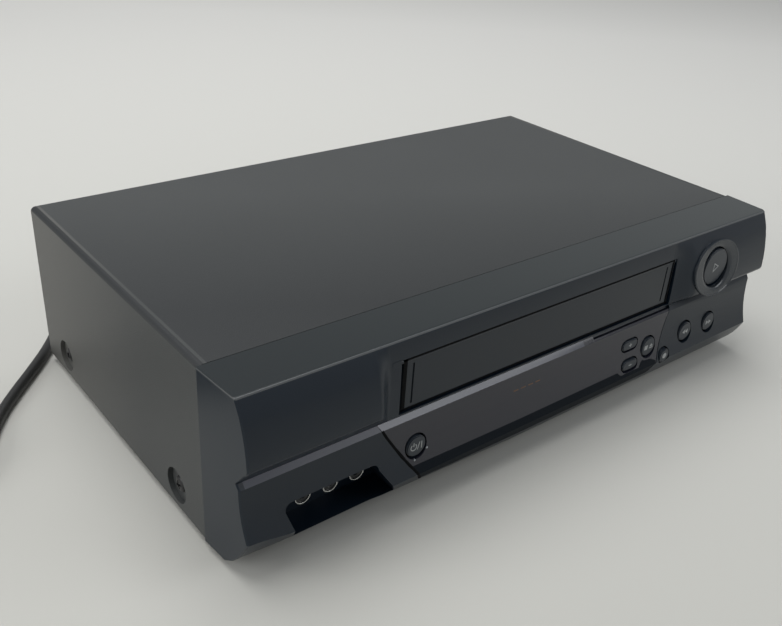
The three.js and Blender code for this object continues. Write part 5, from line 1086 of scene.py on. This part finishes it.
# Key board, socket board and display tube: an upright board behind the fascia
# with one push switch to each button, and the tube's glass with its segments.
switch_steel = surface("switch_steel", (0.55, 0.55, 0.54), (0.44, 0.44, 0.43), 0.34, metallic=1.0)
plunger_plastic = surface("plunger_plastic", (0.55, 0.54, 0.5), (0.48, 0.47, 0.44), 0.45)
key_board = nodes["key_board"]
dress(key_board, board_face)
switch_front, switch_back = -0.0980, -0.0945
marked_faces(key_board, switch_steel, (-far, switch_front, -far), (far, switch_back, far))
marked_faces(key_board, plunger_plastic, (-far, -far, -far), (far, switch_front + 0.0001, far))
dress(nodes["front_jack_board"], board_face)
tube_glass = surface(
    "tube_glass", (0.012, 0.017, 0.018), (0.016, 0.022, 0.023), 0.1, grain=200.0, relief=0.01
)
dress(nodes["display_tube"], tube_glass, wide_edge)
# Painted glow: the clock segments are painted bright orange for their light.
segment_glow = surface("segment_glow", (0.45, 0.17, 0.05), (0.38, 0.14, 0.04), 0.5)
tube_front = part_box("display_tube")[0][1]
digit_left, digit_pitch, digit_width, colon_gap = -0.0255, 0.0062, 0.0036, 0.0016
digit_depth, digit_height = (tube_front - 0.00012, tube_front + 0.0001), (0.0387, 0.0393)
segments = []
for digit in range(4):
    left = digit_left + digit * digit_pitch + (colon_gap if digit > 1 else 0.0)
    segments.append(block(left, left + digit_width, *digit_depth, *digit_height, 0.00004, 1))
clock_segments = joined(segments, "clock_segments")
finished(clock_segments, segment_glow, "display_glass")

# Tape deck: a zinc-plated steel plate on four posts, with riveted studs. Four
# cross head screws hold it, and a guide roller stands on each loading arm.
dress(nodes["mechanism_deck"], zinc_plate, usual_edge)
deck_screw_model = cross_screw(0.0032, 0.0016, 0.0014, 0.003)
deck_top, roller_from, hub_height = 0.0255, 0.0262, 0.0065
deck_screw_places = (
    (-0.09, -0.06035, 12.0), (0.086, -0.06035, 64.0), (-0.09, 0.09165, 33.0), (0.086, 0.09165, 81.0),
)
deck_screws = joined(
    [copied(deck_screw_model, turned_to(x, y, deck_top, "+z", spin)) for x, y, spin in deck_screw_places],
    "deck_screws",
)
bpy.data.objects.remove(deck_screw_model)
finished(deck_screws, nickel, "bright_metal")

nylon = surface("nylon", (0.66, 0.65, 0.6), (0.6, 0.59, 0.55), 0.42, relief=0.05)
grey_nylon = surface("grey_nylon", (0.12, 0.125, 0.13), (0.15, 0.155, 0.16), 0.42)
drive_rubber = surface(
    "drive_rubber", (0.014, 0.014, 0.014), (0.022, 0.022, 0.021), 0.62, grain=1400.0, relief=0.12
)
guide_arms = ("supply_guide_arm", "takeup_guide_arm")
reel_tables = ("supply_reel_table", "takeup_reel_table")
for finish, edge, node_names in (
    (nylon, usual_edge, (*reel_tables, "clutch_pulley")),
    (grey_nylon, usual_edge, ("cam_gear",)),
    (zinc_plate, thin_edge, (*guide_arms, "idler_arm", "pinch_arm", "tension_arm")),
    (drive_rubber, thin_edge, ("idler_wheel", "pinch_roller", "capstan_belt")),
):
    for node_name in node_names:
        dress(nodes[node_name], finish, edge)
for node_name in reel_tables:
    hub_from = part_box(node_name)[0][2] + hub_height
    marked_faces(nodes[node_name], grey_nylon, (-far, -far, hub_from), (far, far, far))
for node_name in guide_arms:
    marked_faces(nodes[node_name], nickel, (-far, -far, roller_from), (far, far, far))

# Head drum, heads and motors: the drum is turned from aluminium and leans on
# its base, with fine lathe lines round it and a groove for each head tip.
def lathe_turned(name, colour, shade, roughness, lines):
    """A turned metal finish with fine lines round its axis."""
    material = surface(name, colour, shade, roughness, metallic=1.0, grain=700.0, relief=0.02)
    wave = texture_on(material, "Wave", Scale=lines)
    wave.bands_direction = "Z"
    carved(material, wave.outputs["Fac"], 0.12, 0.0001)
    return material


drum_aluminium = lathe_turned("drum_aluminium", (0.72, 0.72, 0.71), (0.6, 0.6, 0.6), 0.2, 900.0)
motor_steel = lathe_turned("motor_steel", (0.45, 0.46, 0.47), (0.36, 0.37, 0.38), 0.3, 500.0)
sintered_bronze = surface(
    "sintered_bronze", (0.3, 0.19, 0.09), (0.22, 0.14, 0.07), 0.45, metallic=0.8, relief=0.2
)
head_shell = surface("head_shell", (0.6, 0.6, 0.59), (0.5, 0.5, 0.5), 0.22, metallic=1.0, grain=500.0)
for finish, edge, node_names in (
    (drum_aluminium, usual_edge, ("lower_drum", "upper_drum")),
    (motor_steel, usual_edge, ("drum_motor_rotor", "capstan_rotor", "loading_motor")),
    (sintered_bronze, thin_edge, ("capstan_bearing",)),
    (head_shell, usual_edge, ("erase_head", "audio_control_head")),
):
    for node_name in node_names:
        dress(nodes[node_name], finish, edge)

# Cassette carriage: two side plates joined by a bridge, a slider with its
# rack and the holder that the cassette is pushed into, all in plated steel.
for node_name in ("carriage_frame", "carriage_slider", "cassette_holder"):
    dress(nodes[node_name], zinc_plate, thin_edge)

# Table and light: a pale table, painted darker toward the front as shade, a
# large soft lamp overhead and behind, a pale card to the right that lights the
# fascia's ledge along with its painted highlight, and a studio that is brightest
# low down all round.
def ramped(tree, value, stops):
    """A colour for every value, from stops in rising order."""
    tone = shader_node(tree, "ValToRGB", Fac=value)
    elements = tone.color_ramp.elements
    ends = [(elements[0], stops[0]), (elements[1], stops[-1])]
    for element, (position, colour) in ends:
        element.position = position
        element.color = (*colour, 1.0)
    for position, colour in stops[1:-1]:
        elements.new(position).color = (*colour, 1.0)
    return tone.outputs["Color"]


table_size, table_drop = 8.0, 0.0002
none_selected()
bpy.ops.mesh.primitive_plane_add(size=table_size, location=(0.0, 0.0, -table_drop))
table = bpy.context.active_object
table.name = "table"
table_paint = bpy.data.materials.new("table_paint")
table_paint.use_nodes = True
table_tree = table_paint.node_tree
table_shader = table_tree.nodes["Principled BSDF"]
shader_node(table_tree, "TexCoord")
# Painted shade: the table's colour is darker toward the front.
table_depth = ranged(table_tree, distance_along(table_tree, (0.643, 0.766, 0.0)), -0.25, 1.0)
table_stops = [(0.0, (0.52, 0.516, 0.48)), (0.3, (0.60, 0.596, 0.56)), (1.0, (0.82, 0.81, 0.775))]
table_tree.links.new(ramped(table_tree, table_depth, table_stops), table_shader.inputs["Base Color"])
table_shader.inputs["Roughness"].default_value = 0.8
table.data.materials.append(table_paint)


def lamp(name, place, target, width, depth, power, colour=(1.0, 1.0, 1.0)):
    data = bpy.data.lights.new(name, "AREA")
    data.shape = "RECTANGLE"
    data.size = width
    data.size_y = depth
    data.energy = power
    data.color = colour
    light = placed(name, data)
    light.location = place
    aim_at = Vector(target) - Vector(place)
    light.rotation_euler = aim_at.to_track_quat("-Z", "Y").to_euler()
    return light


lamp("overhead_lamp", (-0.2, 0.3, 1.6), (0.0, 0.0, 0.0), 1.6, 1.2, 20.0)
lamp("left_lamp", (-1.5, 0.2, 0.7), (0.0, 0.0, 0.05), 1.0, 0.8, 9.0)
lamp("ledge_card", (0.9, -1.05, 0.95), (0.0, -0.1, 0.05), 0.9, 0.6, 5.5, (0.95, 0.97, 1.0))
world = bpy.data.worlds.new("studio")
world.use_nodes = True
world_tree = world.node_tree
world_light = world_tree.nodes["Background"]
world_place = shader_node(world_tree, "TexCoord").outputs["Generated"]
world_axes = shader_node(world_tree, "SeparateXYZ", Vector=world_place)
world_stops = [(0.1, (0.95, 0.96, 0.97)), (0.75, (0.42, 0.44, 0.46))]
world_tree.links.new(ramped(world_tree, world_axes.outputs["Z"], world_stops), world_light.inputs["Color"])
world_light.inputs["Strength"].default_value = 0.5
bpy.context.scene.world = world
bpy.context.scene.view_settings.view_transform = "Standard"
